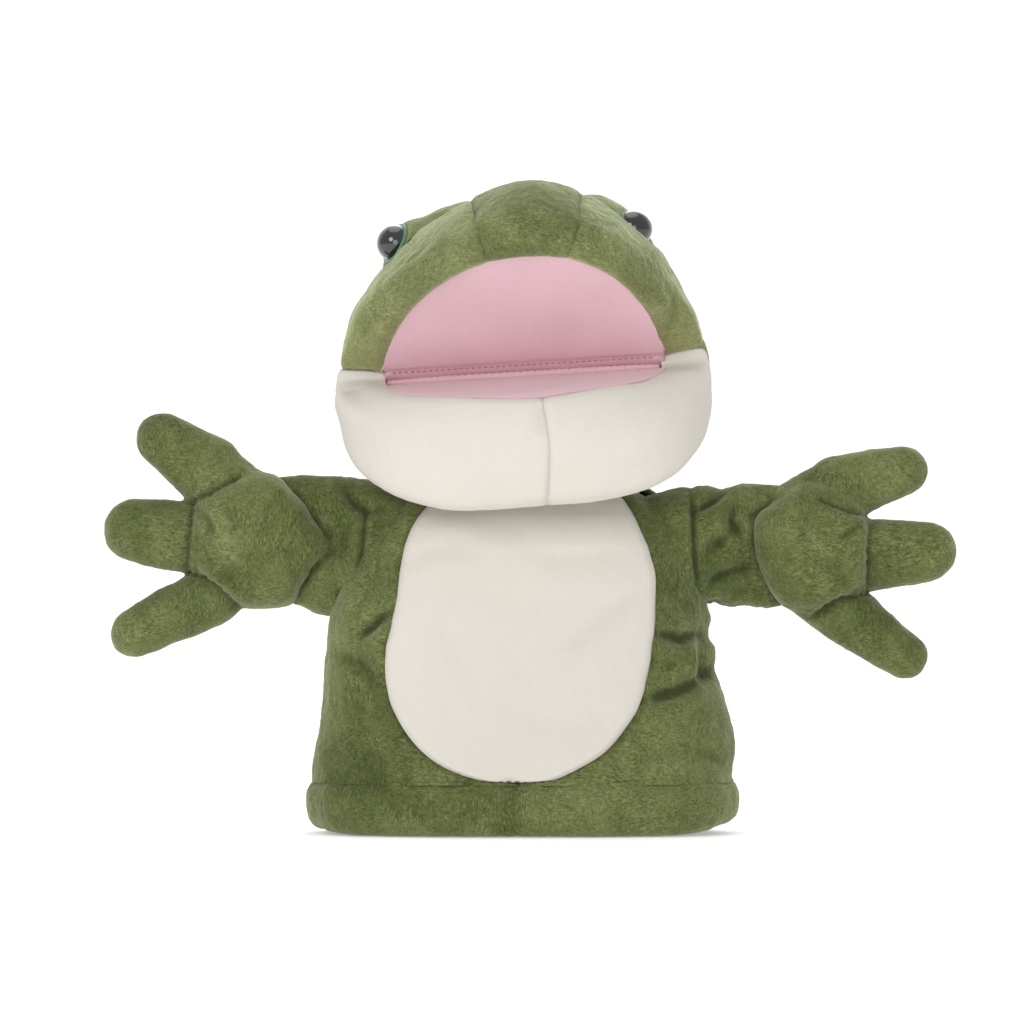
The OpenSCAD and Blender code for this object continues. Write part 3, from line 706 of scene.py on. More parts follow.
# hem band: a rolled tube of plush round the opening
prof = [(20.2, -0.6), (19.2, -0.4), (18.0, 0.7), (15, 1.7), (11, 2.0), (7, 1.9), (4, 1.3), (2, 0.2), (0.7, -1.4), (0.15, -3.2),
        (0.6, -5.0), (2.0, -6.2), (5, -6.6), (10, -6.2), (15, -5.2), (18, -4.2), (19.6, -2.8)]
pz = np.array([p[0] for p in prof])
po = np.array([p[1] for p in prof])
L = np.concatenate([[0], np.cumsum(np.hypot(np.diff(pz), np.diff(po)))])
ss = np.linspace(0, L[-1], 44)
hz, ho = smooth_table(L, pz, ss), smooth_table(L, po, ss)
tt = np.linspace(0, 2 * math.pi, 420, endpoint=False)
HW, HD = 79.4, 40.8
# the band hangs a little uneven and lifts at its ends
bx = -2.9 + (HW + ho[:, None]) * pw(np.cos(tt)[None, :], 0.8)
by = -(HD + ho[:, None]) * pw(np.sin(tt)[None, :], 0.8)
bz = np.repeat(hz[:, None], len(tt), 1)
lift = 2.6 * np.clip((np.abs(bx + 2.9) - 60) / 20, 0, 1) ** 2 * (bx < 0) + 4.2 * np.clip((bx - 48) / 28, 0, 1) ** 2
bz = bz + lift * np.clip(1 - bz / 19, 0, 1)
H = np.stack([bx, by, bz], -1)


def hem_folds(P, N):
    front = P[..., 1] < 0
    out = 0.5 * vnoise(P * (1, 1, 0.12), (5, 6, 9), 71) + 0.6 * fbm(P * (1, 1, 0.2), (17, 17, 12), 77, 2)
    out = out - 2.2 * np.exp(-((P[..., 0] + 4.8) / 1.3) ** 2) * front - 1.0 * np.exp(-((P[..., 0] - 6.5) / 1.6) ** 2) * front
    out = out - 0.8 * np.exp(-((P[..., 0] - 11) / 1.3) ** 2) * front - 1.8 * np.exp(-((P[..., 0] + 2.8) / 1.4) ** 2) * (~front)
    out = out - 1.1 * np.exp(-(np.abs(P[..., 1]) / 1.6) ** 2)
    k = np.clip(P[..., 2] / 3.0, 0.15, 1)
    return (out + nap(P, 7, 1.0)) * k


Nh = normals(H, True)
if np.sum(Nh * (H - np.array([-2.9, 0, 9.0]))) < 0:
    Nh = -Nh
# outward means away from the band's own middle line
mid_o = -2.3
mid = np.stack([-2.9 + (HW + mid_o) * pw(np.cos(tt), 0.8), -(HD + mid_o) * pw(np.sin(tt), 0.8), np.full_like(tt, 9.5)], -1)[None]
sg = np.sign(np.sum(Nh * (H - mid)))
Nh = Nh * sg
Hd = H + Nh * hem_folds(H, Nh)[..., None]
Hd[..., 2] = np.maximum(Hd[..., 2], 0.02)
m_, n_ = Hd.shape[:2]
F = grid_quads(m_, n_, True)
a = (m_ - 1) * n_
F += [[j, a + j, a + (j + 1) % n_, (j + 1) % n_] for j in range(n_)]
hem = make("hem_roll", Hd.reshape(-1, 3), F, M_BODY)
bm = bmesh.new()
bm.from_mesh(hem.data)
bmesh.ops.recalc_face_normals(bm, faces=bm.faces)
bm.to_mesh(hem.data)
bm.free()
hem.data.polygons.foreach_set("use_smooth", [True] * len(hem.data.polygons))
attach(hem, "torso")
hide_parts("hem_band")


def stitches(name, pts, mat, body, r=0.32, length=1.9, gap=1.0, lift=(0, 0, 0)):
    """A run of separate stitches along points in mm: small tapered loops of thread."""
    pts = np.asarray(pts, float)
    L = np.concatenate([[0], np.cumsum(np.linalg.norm(np.diff(pts, axis=0), axis=1))])
    V, F = [], []
    s = gap
    while s + length < L[-1]:
        a = np.array([np.interp(s, L, pts[:, k]) for k in range(3)])
        b = np.array([np.interp(s + length, L, pts[:, k]) for k in range(3)])
        d = (b - a) / max(np.linalg.norm(b - a), 1e-6)
        up = np.cross(d, (0.3, 0.9, 0.31))
        up /= np.linalg.norm(up)
        w = np.cross(d, up)
        base = len(V)
        for f, q in ((0, 0.25), (0.2, 0.85), (0.5, 1.0), (0.8, 0.85), (1, 0.25)):
            c = a + (b - a) * f + np.array(lift)
            for k in range(6):
                an = k * math.pi / 3
                V.append(c + r * q * (math.cos(an) * up + math.sin(an) * w))
        for i in range(4):
            for k in range(6):
                F.append([base + i * 6 + k, base + i * 6 + (k + 1) % 6, base + (i + 1) * 6 + (k + 1) % 6, base + (i + 1) * 6 + k])
        F.append([base + k for k in range(6)][::-1])
        F.append([base + 24 + k for k in range(6)])
        s += length + gap
    o = make(name, V, F, mat)
    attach(o, body)
    return o


st = []
for q in np.linspace(0, 2 * math.pi, 400):
    p = torso(np.array(20.6), np.array(q))
    st.append(p * np.array([1, 1, 1]))
st = np.array(st)
cen = np.array([-2.9, 0, 20.6])
dirs = st - cen
dirs[:, 2] = 0
st = st - 0.35 * dirs / np.linalg.norm(dirs, axis=1)[:, None]
stitches("hem_stitches", st, M_THREAD, "torso", 0.28, 2.0, 1.1)

# lining bag inside the torso
LZ = [4, 12, 18, 34, 50, 66, 78, 100, 116, 126, 132]
LW = [72.4, 72.8, 72.6, 66, 60, 47, 39, 35.5, 34.2, 32.5, 31]
LD = [33.8, 34.2, 34.0, 33, 31.6, 30, 27.6, 24, 20.4, 18.6, 17.8]
LC = [0, 0, 0, 0, 0, 0, 0.4, 1, 2, 4, 6]
lz = np.linspace(4, 132, 70)
lt = np.linspace(0, 2 * math.pi, 130, endpoint=False)
lw, ld, lc = (smooth_table(LZ, T, lz)[:, None] for T in (LW, LD, LC))
LG = np.stack([-2.8 + lw * pw(np.cos(lt), 0.8)[None], lc - ld * pw(np.sin(lt), 0.8)[None], lz[:, None] + 0 * lt[None]], -1)
lin = panel("lining_bag", LG, (-2.8, 2, 70), M_LINING, thick=0.6, wrap=True, amp=0.2, seed=12,
            extra=lambda P, N: 0.9 * fbm(P * (1, 1, 0.4), (14, 14, 22), 81, 2) - 0.6)
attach(lin, "torso")
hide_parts("body_lining")
declare_sheet(lin)
for o in (front_l, front_r, belly, back):
    declare_sheet(o)

# ------------------------------------------------------------------ neck


def neck_grid(z0, z1, table, n=110, step=1.2):
    zz = np.arange(z0, z1 + 0.01, step)
    T = np.array(table)
    w, d, c = (smooth_table(T[:, 0], T[:, k], zz)[:, None] for k in (1, 2, 3))
    t = np.linspace(0, 2 * math.pi, n, endpoint=False)[None]
    return np.stack([-2.8 + w * pw(np.cos(t), 0.9), c - d * pw(np.sin(t), 0.9), zz[:, None] + 0 * t], -1)


NT = [(122, 36, 18, 4), (126, 34.6, 19, 5.4), (132, 33.4, 20.4, 7), (140, 33.4, 21, 7.6), (148, 34, 21.4, 8), (156, 34.6, 21.4, 8)]
ncol = panel("neck_collar", neck_grid(122, 137, NT), (-2.8, 7, 130), M_HEAD, thick=1.4, wrap=True, seed=14,
             extra=lambda P, N: 0.7 * vnoise(P * (1, 1, 0.2), (5, 5, 8), 91))
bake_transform(ncol)
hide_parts("neck_tube")
del ncol["pattern"]
nthr = panel("neck_gusset", neck_grid(135.5, 155, NT) * np.array([0.985, 0.985, 1]), (-2.8, 7, 140), M_HEAD, thick=1.4, wrap=True, seed=15,
             extra=lambda P, N: 0.7 * vnoise(P * (1, 1, 0.2), (5, 5, 8), 95))
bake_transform(nthr)
del nthr["pattern"]

# ------------------------------------------------------------------ sleeves
SL = {
    -1: dict(x=[-48, -56, -64, -75, -88, -98, -106], c=[107.5, 107, 107, 107.4, 109.6, 110, 110], h=[19, 23.2, 25.6, 26, 24.4, 22, 17], d=[14, 16.4, 17.0, 14.6, 11.4, 9.2, 7]),
    1: dict(x=[42, 50, 58, 68, 80, 93, 106], c=[107, 107, 106.8, 107.2, 107.8, 108, 108], h=[18, 21.4, 22.6, 22.0, 22.4, 22.6, 17], d=[14, 16.4, 17.4, 15.8, 12.4, 10.2, 7]),
}
SF = {
    -1: [(U((368, 498), (365, 530), (362, 560), (358, 592), (352, 614)), 1.8, 1.3), (U((352, 500), (349, 530), (350, 560)), 1.0, 3.2), (U((336, 586), (348, 600), (345, 614)), 1.8, 2.4),
         (U((382, 508), (368, 512), (352, 500), (342, 486)), 1.8, 2.2), (U((330, 520), (340, 540), (338, 566)), 1.2, 3.0)],
    1: [(U((690, 486), (692, 520), (694, 560), (698, 604)), 2.0, 1.4), (U((692, 510), (712, 500), (728, 488)), 2.6, 2.4), (U((700, 560), (716, 545), (742, 520)), 1.6, 3.2),
        (U((735, 500), (731, 520), (745, 542)), 1.8, 2.4), (U((702, 588), (722, 574), (750, 568)), 1.8, 2.6), (U((697, 596), (708, 606), (722, 600)), 2.2, 2.0),
        (U((718, 574), (735, 592), (762, 592)), 1.2, 2.8)],
}
# the palm's heel laps over the sleeve
HEEL = {
    -1: U((275, 477), (295, 497), (312, 517), (327, 537), (330, 552), (313, 570), (299, 587), (295, 604)),
    1: U((792, 486), (772, 504), (752, 516), (755, 543), (762, 570), (774, 595), (783, 608)),
}
for sg_, nm in ((-1, "left"), (1, "right")):
    T = SL[sg_]
    x0, x1 = T["x"][0], T["x"][-1]
    xs_ = np.linspace(x0, x1, 84)
    o_ = np.argsort(T["x"])
    X = np.array(T["x"])[o_]
    c, h, d = (smooth_table(X, np.array(T[k])[o_], xs_)[:, None] for k in "chd")
    t = np.linspace(0, 2 * math.pi, 132, endpoint=False)[None]
    # the shoulder end leans back along the body's seam
    lean = np.clip(1 - np.abs(xs_ - x0) / 24, 0, 1)[:, None]
    zz = c + h * pw(np.sin(t), 0.9)
    G = np.stack([xs_[:, None] - sg_ * lean * (-0.16) * (109 - zz) + 0 * t, -d * pw(np.cos(t), 0.9), zz], -1)

    def sf(P, N, sg_=sg_):
        out = 1.0 * fbm(P, (16, 16, 24), 101 + sg_, 2)
        for pts, dep, wid in SF[sg_]:
            out = out + groove(P, pts, dep, wid) * (P[..., 1] < 5)
        hd_, _ = polyline_dist(P[..., 0], P[..., 2], HEEL[sg_])
        return out - 2.2 * np.exp(-(hd_ / 2.4) ** 2) * np.clip(np.abs(N[..., 1]) * 1.6 - 0.4, 0, 1)

    sl = panel(nm + "_sleeve_plush", G, ((x0 + x1) / 2, 0, 108), M_BODY, thick=1.6, wrap=True, seed=20 + sg_, extra=sf, dark=1.5)
    del sl["pattern"]
    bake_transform(sl)
    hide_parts(nm + "_sleeve", nm + "_sleeve_filling")

# ------------------------------------------------------------------ hands: one skin over palm and fingers, cut at the sewn creases
HANDS = {
    -1: dict(palm=(-100.5, 109.8), r=(26.4, 17.6, 25.2), fill=[((-121, 135.6), (-104, 122.5), 12.4, 11.5)],
             rim=[(-90, 25.2), (-66, 25.6), (-53, 22.4), (-31, 22.0), (-10, 25.6), (3, 24.8), (26, 21.2), (54, 21.0), (79, 24.3), (90, 25.2), (125, 26), (180, 26.4), (235, 26), (270, 25.2)], web=(-113.8, 111, 12.5),
             f=[("upper", (-121.2, 136.0), (-138.4, 147.8), 13.0, 10.2), ("middle", (-126.5, 110.4), (-148.2, 113.7), 13.4, 11.8), ("lower", (-120.5, 88.8), (-148.5, 75.2), 11.2, 9.1)],
             crease=[U((191, 503), (214, 492), (240, 478)), U((194, 505), (191, 534), (188, 572)), U((190, 574), (206, 577), (221, 588), (240, 606))],
             more=[(U((203, 511), (212, 522), (217, 540)), 1.1, 1.5), (U((215, 585), (230, 575), (240, 560)), 0.7, 2.4), (U((225, 500), (236, 520), (238, 540)), 0.6, 3.0)]),
    1: dict(palm=(104.5, 107.8), r=(24.6, 17.4, 24.0), fill=[((98.5, 120.8), (108, 126.4), 10, 10.8), ((104, 92), (117.5, 82.6), 10.5, 11.0)],
            rim=[(-90, 24), (-45, 24.4), (0, 24.6), (45, 24.4), (90, 24), (105, 23), (128, 20.4), (150, 23), (177, 20.8), (207, 20.4), (237, 22.9), (250, 24.4), (270, 24)], web=(118, 106, 12.5),
            f=[("upper", (115, 128.5), (140.0, 136.2), 12.4, 9.2), ("middle", (124.0, 104.6), (148.6, 105.4), 13.4, 11.3), ("lower", (117.5, 82.6), (140.6, 66.2), 11.2, 8.7)],
            crease=[U((870, 518), (840, 509), (818, 500)), U((867, 516), (868, 552), (865, 596)), U((866, 594), (838, 599), (812, 616))],
            more=[(U((860, 524), (848, 532), (836, 540)), 1.1, 1.5), (U((850, 590), (838, 578), (830, 562)), 0.7, 2.4), (U((806, 500), (800, 520), (802, 545)), 0.6, 3.0)]),
}


def pillow(V, F, centre, radii, rim=None, seg=120, rows=40, edge=0.5, face=0.85):
    """A cushion: round seen from the front, flat-faced with a full edge."""
    base = len(V)
    cx, cy, cz = centre
    for i in range(1, rows):
        a = math.pi * i / rows - math.pi / 2
        ra = math.cos(a) ** edge
        y = math.copysign(abs(math.sin(a)) ** face, math.sin(a))
        for j in range(seg):
            b = 2 * math.pi * j / seg
            bd = math.degrees(b)
            rr = float(smooth_table([q[0] for q in rim], [q[1] for q in rim], bd if bd <= 270 else bd - 360))
            V.append((cx + rr * ra * math.cos(b), cy + radii[1] * y, cz + rr * ra * math.sin(b)))
    top, bot = len(V), len(V) + 1
    V.append((cx, cy - radii[1], cz))
    V.append((cx, cy + radii[1], cz))
    for i in range(rows - 2):
        for j in range(seg):
            k = (j + 1) % seg
            F.append([base + i * seg + j, base + i * seg + k, base + (i + 1) * seg + k, base + (i + 1) * seg + j])
    for j in range(seg):
        k = (j + 1) % seg
        F.append([top, base + k, base + j])
        e_ = base + (rows - 2) * seg
        F.append([bot, e_ + j, e_ + k])


def blob(V, F, centre, radii, seg=40):
    base = len(V)
    cx, cy, cz = centre
    rows = seg // 2
    for i in range(1, rows):
        a = math.pi * i / rows
        for j in range(seg):
            b = 2 * math.pi * j / seg
            V.append((cx + radii[0] * math.sin(a) * math.cos(b), cy + radii[1] * math.sin(a) * math.sin(b), cz + radii[2] * math.cos(a)))
    top, bot = len(V), len(V) + 1
    V.append((cx, cy, cz + radii[2]))
    V.append((cx, cy, cz - radii[2]))
    for i in range(rows - 2):
        for j in range(seg):
            k = (j + 1) % seg
            F.append([base + i * seg + j, base + (i + 1) * seg + j, base + (i + 1) * seg + k, base + i * seg + k])
    for j in range(seg):
        k = (j + 1) % seg
        F.append([top, base + j, base + k])
        e_ = base + (rows - 2) * seg
        F.append([bot, e_ + k, e_ + j])


def limb(V, F, a, b, ra, rb, flat=0.92, steps=14):
    for k in range(steps + 1):
        f = k / steps
        r = ra + (rb - ra) * f
        blob(V, F, (a[0] + (b[0] - a[0]) * f, 0, a[1] + (b[1] - a[1]) * f), (r, r * flat, r), 28)


def remesh(o, size, smooth=4, factor=0.5):
    m = o.modifiers.new("r", "REMESH")
    m.mode = "VOXEL"
    m.voxel_size = size
    m.use_smooth_shade = True
    if smooth:
        q = o.modifiers.new("s", "SMOOTH")
        q.factor = factor
        q.iterations = smooth
    dg = bpy.context.evaluated_depsgraph_get()
    me = bpy.data.meshes.new_from_object(o.evaluated_get(dg))
    o.modifiers.clear()
    old = o.data
    o.data = me
    bpy.data.meshes.remove(old)


def coords(o):
    a = np.empty(len(o.data.vertices) * 3)
    o.data.vertices.foreach_get("co", a)
    return a.reshape(-1, 3) * 1000


def vnormals(o):
    a = np.empty(len(o.data.vertices) * 3)
    o.data.vertices.foreach_get("normal", a)
    return a.reshape(-1, 3)


def set_coords(o, P):
    o.data.vertices.foreach_set("co", (P * 0.001).ravel())
    o.data.update()


def split_off(o, name, keep):
    """A copy of o with only the faces where keep is true."""
    V, F = coords(o), [list(p.vertices) for p in o.data.polygons]
    F = [f for f, k in zip(F, keep) if k]
    used = sorted({v for f in F for v in f})
    idx = {v: i for i, v in enumerate(used)}
    # carry the painted shade over to the part
    shade_paint = np.empty(len(V))
    o.data.attributes["painted_shade"].data.foreach_get("value", shade_paint)
    part = make(name, V[used], [[idx[v] for v in f] for f in F], o.data.materials[0])
    set_attr(part, "painted_shade", shade_paint[used])
    return part


for sg_, nm in ((-1, "left"), (1, "right")):
    T = HANDS[sg_]
    V, F = [], []
    px_, pz_ = T["palm"]
    rx, ry, rz = T["r"]
    # cushion with a round edge
    pillow(V, F, (px_, 0, pz_), (rx, ry, rz), T["rim"], edge=0.30)
    for a_, b_, ra, rb in T["fill"]:
        limb(V, F, a_, b_, ra, rb, 0.95, 6)
    blob(V, F, (T["web"][0], 0, T["web"][1]), (T["web"][2], 14.0, 17), 30)
    for fn, a_, b_, ra, rb in T["f"]:
        limb(V, F, (px_ + (a_[0] - px_) * 0.35, pz_ + (a_[1] - pz_) * 0.35), a_, ra + 1.0, ra, 0.95, 6)
        limb(V, F, a_, b_, ra, rb)
    hand = make(nm + "_hand_skin", V, F, M_BODY)
    remesh(hand, 0.0011, 11, 0.6)
    hand.data.materials.clear()
    hand.data.materials.append(M_BODY)
    P, N = coords(hand), vnormals(hand)
    d = 0.75 * nap(P, 60 + sg_, 1.0) + 0.5
    # painted shade: darkens the colour along the sewn creases and in the extra grooves
    hand_shade_paint = np.zeros(len(P))
    for pts in T["crease"]:
        dist, along = polyline_dist(P[:, 0], P[:, 2], pts)
        flat_ = 0.15 + 0.85 * np.clip(np.abs(N[:, 1]) * 1.5 - 0.25, 0, 1)
        d = d + flat_ * (-1.7 * np.exp(-(dist / 1.15) ** 2) + 0.5 * np.exp(-((dist - 3.6) / 2.2) ** 2))
        hand_shade_paint = np.maximum(hand_shade_paint, 0.8 * np.exp(-(dist / 0.85) ** 2))
        # small puckers run away from the thread
        d = d + 0.35 * flat_ * np.exp(-(dist / 5) ** 2) * np.sin(along * 40)
    for pts, dep, wid in T["more"]:
        g_ = groove(P, pts, dep, wid) * (P[:, 1] < 4)
        hand_shade_paint = np.maximum(hand_shade_paint, np.clip(-g_ / 1.4, 0, 1))
        d = d + g_
    # side seam round the edge of the hand
    set_attr(hand, "painted_shade", hand_shade_paint)
    d = d - 0.8 * np.exp(-(P[:, 1] / 1.2) ** 2)
    d = d + 0.6 * fbm(P, (14, 14, 14), 65 + sg_, 2)
    set_coords(hand, P + N * d[:, None])
    # cut at the creases
    P = coords(hand)
    C = np.array([P[list(p.vertices)].mean(0) for p in hand.data.polygons])
    which = np.full(len(C), -1)
    best = np.full(len(C), 1e9)
    info = []
    for k, (fn, a_, b_, ra, rb) in enumerate(T["f"]):
        cr = np.array(T["crease"][k])
        mid_ = cr[len(cr) // 2] if len(cr) % 2 else (cr[0] + cr[-1]) / 2
        dvec = np.array(b_) - np.array(a_)
        ln = np.linalg.norm(dvec)
        dvec = dvec / ln
        edge = cr[-1] - cr[0]
        nrm = np.array([-edge[1], edge[0]]) / np.linalg.norm(edge)
        if nrm @ dvec < 0:
            nrm = -nrm
        side = (C[:, [0, 2]] - (cr[0] + cr[-1]) / 2) @ nrm
        q = (C[:, [0, 2]] - np.array(a_))
        tt_ = np.clip(q @ dvec, -20, ln)
        dd = np.linalg.norm(q - tt_[:, None] * dvec, axis=1) - (ra + rb) / 2
        ok = (side > 0) & (dd < best)
        which[ok] = k
        best[ok] = dd[ok]
        info.append((nrm, (cr[0] + cr[-1]) / 2))
    palm = split_off(hand, nm + "_palm", which == -1)
    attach(palm, nm + "_hand")
    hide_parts(nm + "_palm_front", nm + "_palm_back", nm + "_palm_filling")
    for k, (fn, a_, b_, ra, rb) in enumerate(T["f"]):
        fo = split_off(hand, f"{nm}_{fn}_finger_plush", which == k)
        nrm, c0 = info[k]
        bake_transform(fo)
        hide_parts(f"{nm}_{fn}_finger", f"{nm}_{fn}_finger_filling")
    bpy.data.objects.remove(hand)

# ------------------------------------------------------------------ head, in planes through the crease
HX, HY, HZ = -2.8, 4.0, 172.0
ROLL = math.radians(3.5)
W = 69.4
PA, FA = 51.0, 8.0


def head_frame(L, shear=0.0):
    """Local head coordinates in mm to the row frame."""
    x, y, z = L[..., 0], L[..., 1], L[..., 2]
    x = x + shear * np.maximum(z, 0) * (1 - np.clip(np.abs(x) / W, 0, 1) ** 2)
    return np.stack([HX + x * math.cos(ROLL) - z * math.sin(ROLL), HY + y, HZ + x * math.sin(ROLL) + z * math.cos(ROLL)], -1)


def plane_pt(a, w, r, n, t):
    """a: angle above the horizontal in degrees, front to back; t in degrees from the -X end of the crease."""
    tr, ar = np.radians(t), np.radians(a)
    x = -w * pw(np.cos(tr), 2 / n)
    q = r * pw(np.sin(tr), 2 / n)
    return np.stack([x, -q * np.cos(ar), q * np.sin(ar)], -1)


# upper rows, from the lip's inner edge round the brow and over the top: arc position, angle, half width, radius
UA = [(0, PA + 3.4, 52.0, 54.6), (1, PA + 0.2, 53.0, 55.8), (2, PA - 1.9, 56.8, 59.2), (3, PA - 1.2, 62.0, 63.4), (4, PA + 3.2, 66.6, 67.4),
      (5, PA + 9, 69.0, 70.4), (6, 70, 69.6, 72.0), (7, 82, 69.6, 72.6), (8, 95, 69.5, 72.2), (9, 108, 69.4, 70.8), (10, 121, 69.4, 69.0), (11, 130, 69.0, 64.6), (12, 144, 68.4, 60.6)]


def up_row(v):
    k = [u[0] for u in UA]
    return [smooth_table(k, [u[c] for u in UA], v) for c in (1, 2, 3)]


UN = [2.0, 2.0, 1.96, 1.89, 1.81, 1.75, 1.72, 1.72, 1.73, 1.77, 1.83, 1.86, 1.9]


def upper(v, t):
    a, w, r = up_row(v)
    return plane_pt(a, w, r, smooth_table(range(13), UN, v), t)


SHEAR = 0.085
# past 10 the cloth runs on under the back of the head, so the seam stays shut when the mouth moves
VS = np.concatenate([np.linspace(0, 5, 46), np.linspace(5, 10, 62)[1:], np.linspace(10, 12, 14)[1:]])


def seam_angle(v, side):
    if side < 0:
        return smooth_table([0, 2.5, 6, 8, 10], [75.4, 74.6, 69.8, 68.4, 67.6], v)
    return 180 - smooth_table([0, 2.5, 6, 8, 10], [73.5, 72.6, 69.6, 68.6, 67.8], v)


def upper_grid(t0, t1, n):
    f = np.linspace(0, 1, n)[None]
    t = t0[:, None] + (t1 - t0)[:, None] * f
    return head_frame(upper(VS[:, None] + 0 * t, t), SHEAR)


CHEEK_FOLDS = {
    -1: [(U((362, 338), (372, 322), (384, 312)), 2.0, 3.2), (U((384, 262), (400, 268), (420, 262)), 1.0, 4.0), (U((404, 240), (420, 246), (440, 236)), 0.9, 4.0)],
    1: [(U((664, 282), (674, 300), (676, 326)), 2.0, 3.2), (U((640, 262), (650, 272), (664, 276)), 1.0, 3.6)],
}


def cheek_folds(P, N, s):
    d = 0.9 * fbm(P, (22, 22, 22), 201 + s, 2)
    for pts, dep, wid in CHEEK_FOLDS[s]:
        d = d + groove(P, pts, dep, wid) * (P[..., 1] < 20)
    return d


SEAM_L = seam_angle(VS, -1)
SEAM_R = seam_angle(VS, 1)
HREF = (HX, HY, HZ + 20)
# where the cream stops above the ends of the crease
CT = smooth_table([0, 1, 3, 5, 8, 10], [4.2, 4.6, 6.4, 7.0, 7.4, 7.6], VS)

LIP = np.clip(VS / 2.2, 0.0, 1.0)[:, None] ** 1.5
# painted rim light along the lip's edge, where the green meets the pink, fading over the first rows
PAINTED_LIP_LIGHT = np.exp(-(VS / 1.25) ** 2)[:, None]


def painted_lip_light_rows(n):
    return PAINTED_LIP_LIGHT * np.ones((1, n))


# painted rim light: the cheeks' colour is lightened towards the ends of the crease, along their outer sides
PAINTED_SIDE_RIM_LIGHT = 0.5 * np.exp(-(np.linspace(0, 1, 92) / 0.30) ** 2)
crown = panel("crown", upper_grid(SEAM_L, SEAM_R, 48), HREF, M_CROWN, pull={"l": 0.75, "r": 0.75, "b": 1.2}, width=1.5, seed=30,
              extra=lambda P, N: 0.6 * fbm(P, (20, 20, 20), 211, 2), puff=0.5, fade=LIP, rim=painted_lip_light_rows(48))
cheek_l = panel("left_cheek", upper_grid(CT, SEAM_L, 92), HREF, M_HEAD, pull={"l": 1.2, "r": 0.75, "b": 1.2}, width=1.5, seed=31, seat=(-1, -3.4, -2.6),
                extra=lambda P, N: cheek_folds(P, N, -1), puff=0.5, fade=LIP, rim=np.maximum(painted_lip_light_rows(92), PAINTED_SIDE_RIM_LIGHT[None]))
cheek_r = panel("right_cheek", upper_grid(SEAM_R, 180 - CT, 92), HREF, M_HEAD, pull={"l": 0.75, "r": 1.2, "b": 1.2}, width=1.5, seed=32, seat=(1, -3.4, -2.6),
                extra=lambda P, N: cheek_folds(P, N, 1), puff=0.5, fade=LIP, rim=np.maximum(painted_lip_light_rows(92), PAINTED_SIDE_RIM_LIGHT[None, ::-1]))
for o, n in ((crown, "crown_panel"), (cheek_l, "left_cheek_panel"), (cheek_r, "right_cheek_panel")):
    del o["pattern"]
    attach(o, "upper_head")
    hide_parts(n)
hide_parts("upper_head_filling")
# back of the head: one piece from the crown round to the neck
BA = [121, 135, 150, 165, 180, 193, 206, 218, 230]
BR_ = [69, 66.6, 63.4, 60.4, 58.4, 57.4, 55.4, 52, 48]
BN = [1.83, 1.88, 1.93, 1.97, 2, 2.05, 2.1, 2.15, 2.2]
ba = np.linspace(121, 230, 96)
br = smooth_table(BA, BR_, ba)
bn = smooth_table(BA, BN, ba)
bt = np.linspace(0.35, 179.65, 150)[None]
BG = head_frame(plane_pt(ba[:, None] + 0 * bt, W, br[:, None], bn[:, None], bt), SHEAR)
hb = panel("head_back", BG, HREF, M_HEAD, pull="tb", depth=1.5, width=2.0, seed=35,
           extra=lambda P, N: 1.3 * fbm(P, (26, 26, 26), 221, 2) - 1.2 * np.exp(-((P[..., 0] + 2.8) / 1.6) ** 2), puff=0.4)
del hb["pattern"]
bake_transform(hb)
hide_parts("head_back_panel", "nape_panel")

# eye mounds: small stuffed bumps behind the brow
for s, nm in ((-1, "left"), (1, "right")):
    u = np.sin(np.linspace(-math.pi / 2, math.pi / 2, 56))
    uu, vv = np.meshgrid(u, u, indexing="ij")
    # round off the square of the parameters into a disc
    ru = uu * np.sqrt(1 - vv * vv / 2)
    rv = vv * np.sqrt(1 - uu * uu / 2)
    rad = np.clip(np.hypot(ru, rv), 0, 1)
    a = 103 + 17.0 * ru
    t = 55 + 19.0 * rv
    if s > 0:
        t = 180 - t
    rr = smooth_table([PA, 60, 70, 82, 95, 108, 121], [66, 70.2, 72.0, 72.6, 72.2, 70.8, 69.0], a)
    base = plane_pt(a, W, rr, 1.75, t)
    G = head_frame(base, SHEAR)
    # push the edge a little under the cheek
    up_ = 6.4 * (1 - rad ** 2.2) ** 0.8 - 1.5
    Nn = normals(G, False)
    if np.sum(Nn * (G - np.array(HREF))) < 0:
        Nn = -Nn
    G2 = G + Nn * up_[..., None]
    mo = panel(nm + "_eye_bump", G2, HREF, M_HEAD, thick=1.4, amp=0.8, seed=40 + s, seat=(s, -1.5, -0.6),
               extra=lambda P, N: 0.6 * fbm(P, (9, 9, 9), 231, 2))
    del mo["pattern"]
    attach(mo, "upper_head")
    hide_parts(nm + "_eye_mound")

# jaw: cream, two panels joined at the chin
JA = [(0, FA + 5.0, 52.2, 56.2, 2.0), (1, FA + 2.4, 53.2, 57.8, 2.0), (2, FA + 1.0, 57.5, 60.8, 2.0), (3, FA + 1.8, 62.5, 63.7, 2.02), (4, FA + 4.6, 67.0, 65.8, 2.1),
      (5, FA + 9, 69.6, 67.2, 2.35), (6, 25, 70.2, 68.6, 2.7), (7, 34, 70.2, 69.8, 2.9), (8, 41.5, 70.0, 70.6, 3.0), (9, 46.5, 69.6, 68.6, 3.0), (10, 51.5, 69.4, 60.6, 2.8),
      (11, 56.2, 69.4, 51.0, 2.6), (12, 61.5, 69.4, 46.6, 2.5)]
VJ = np.concatenate([np.linspace(0, 5, 44), np.linspace(5, 10, 58)[1:], np.linspace(10, 12, 14)[1:]])


def jaw_pt(v, t):
    k = [u[0] for u in JA]
    a, w, r, n = (smooth_table(k, [u[c] for u in JA], v) for c in (1, 2, 3, 4))
    return plane_pt(-a, w, r, n, t)


def jaw_grid(t0, t1, n):
    t = np.linspace(t0, t1, n)[None]
    return head_frame(jaw_pt(VJ[:, None] + 0 * t, t))


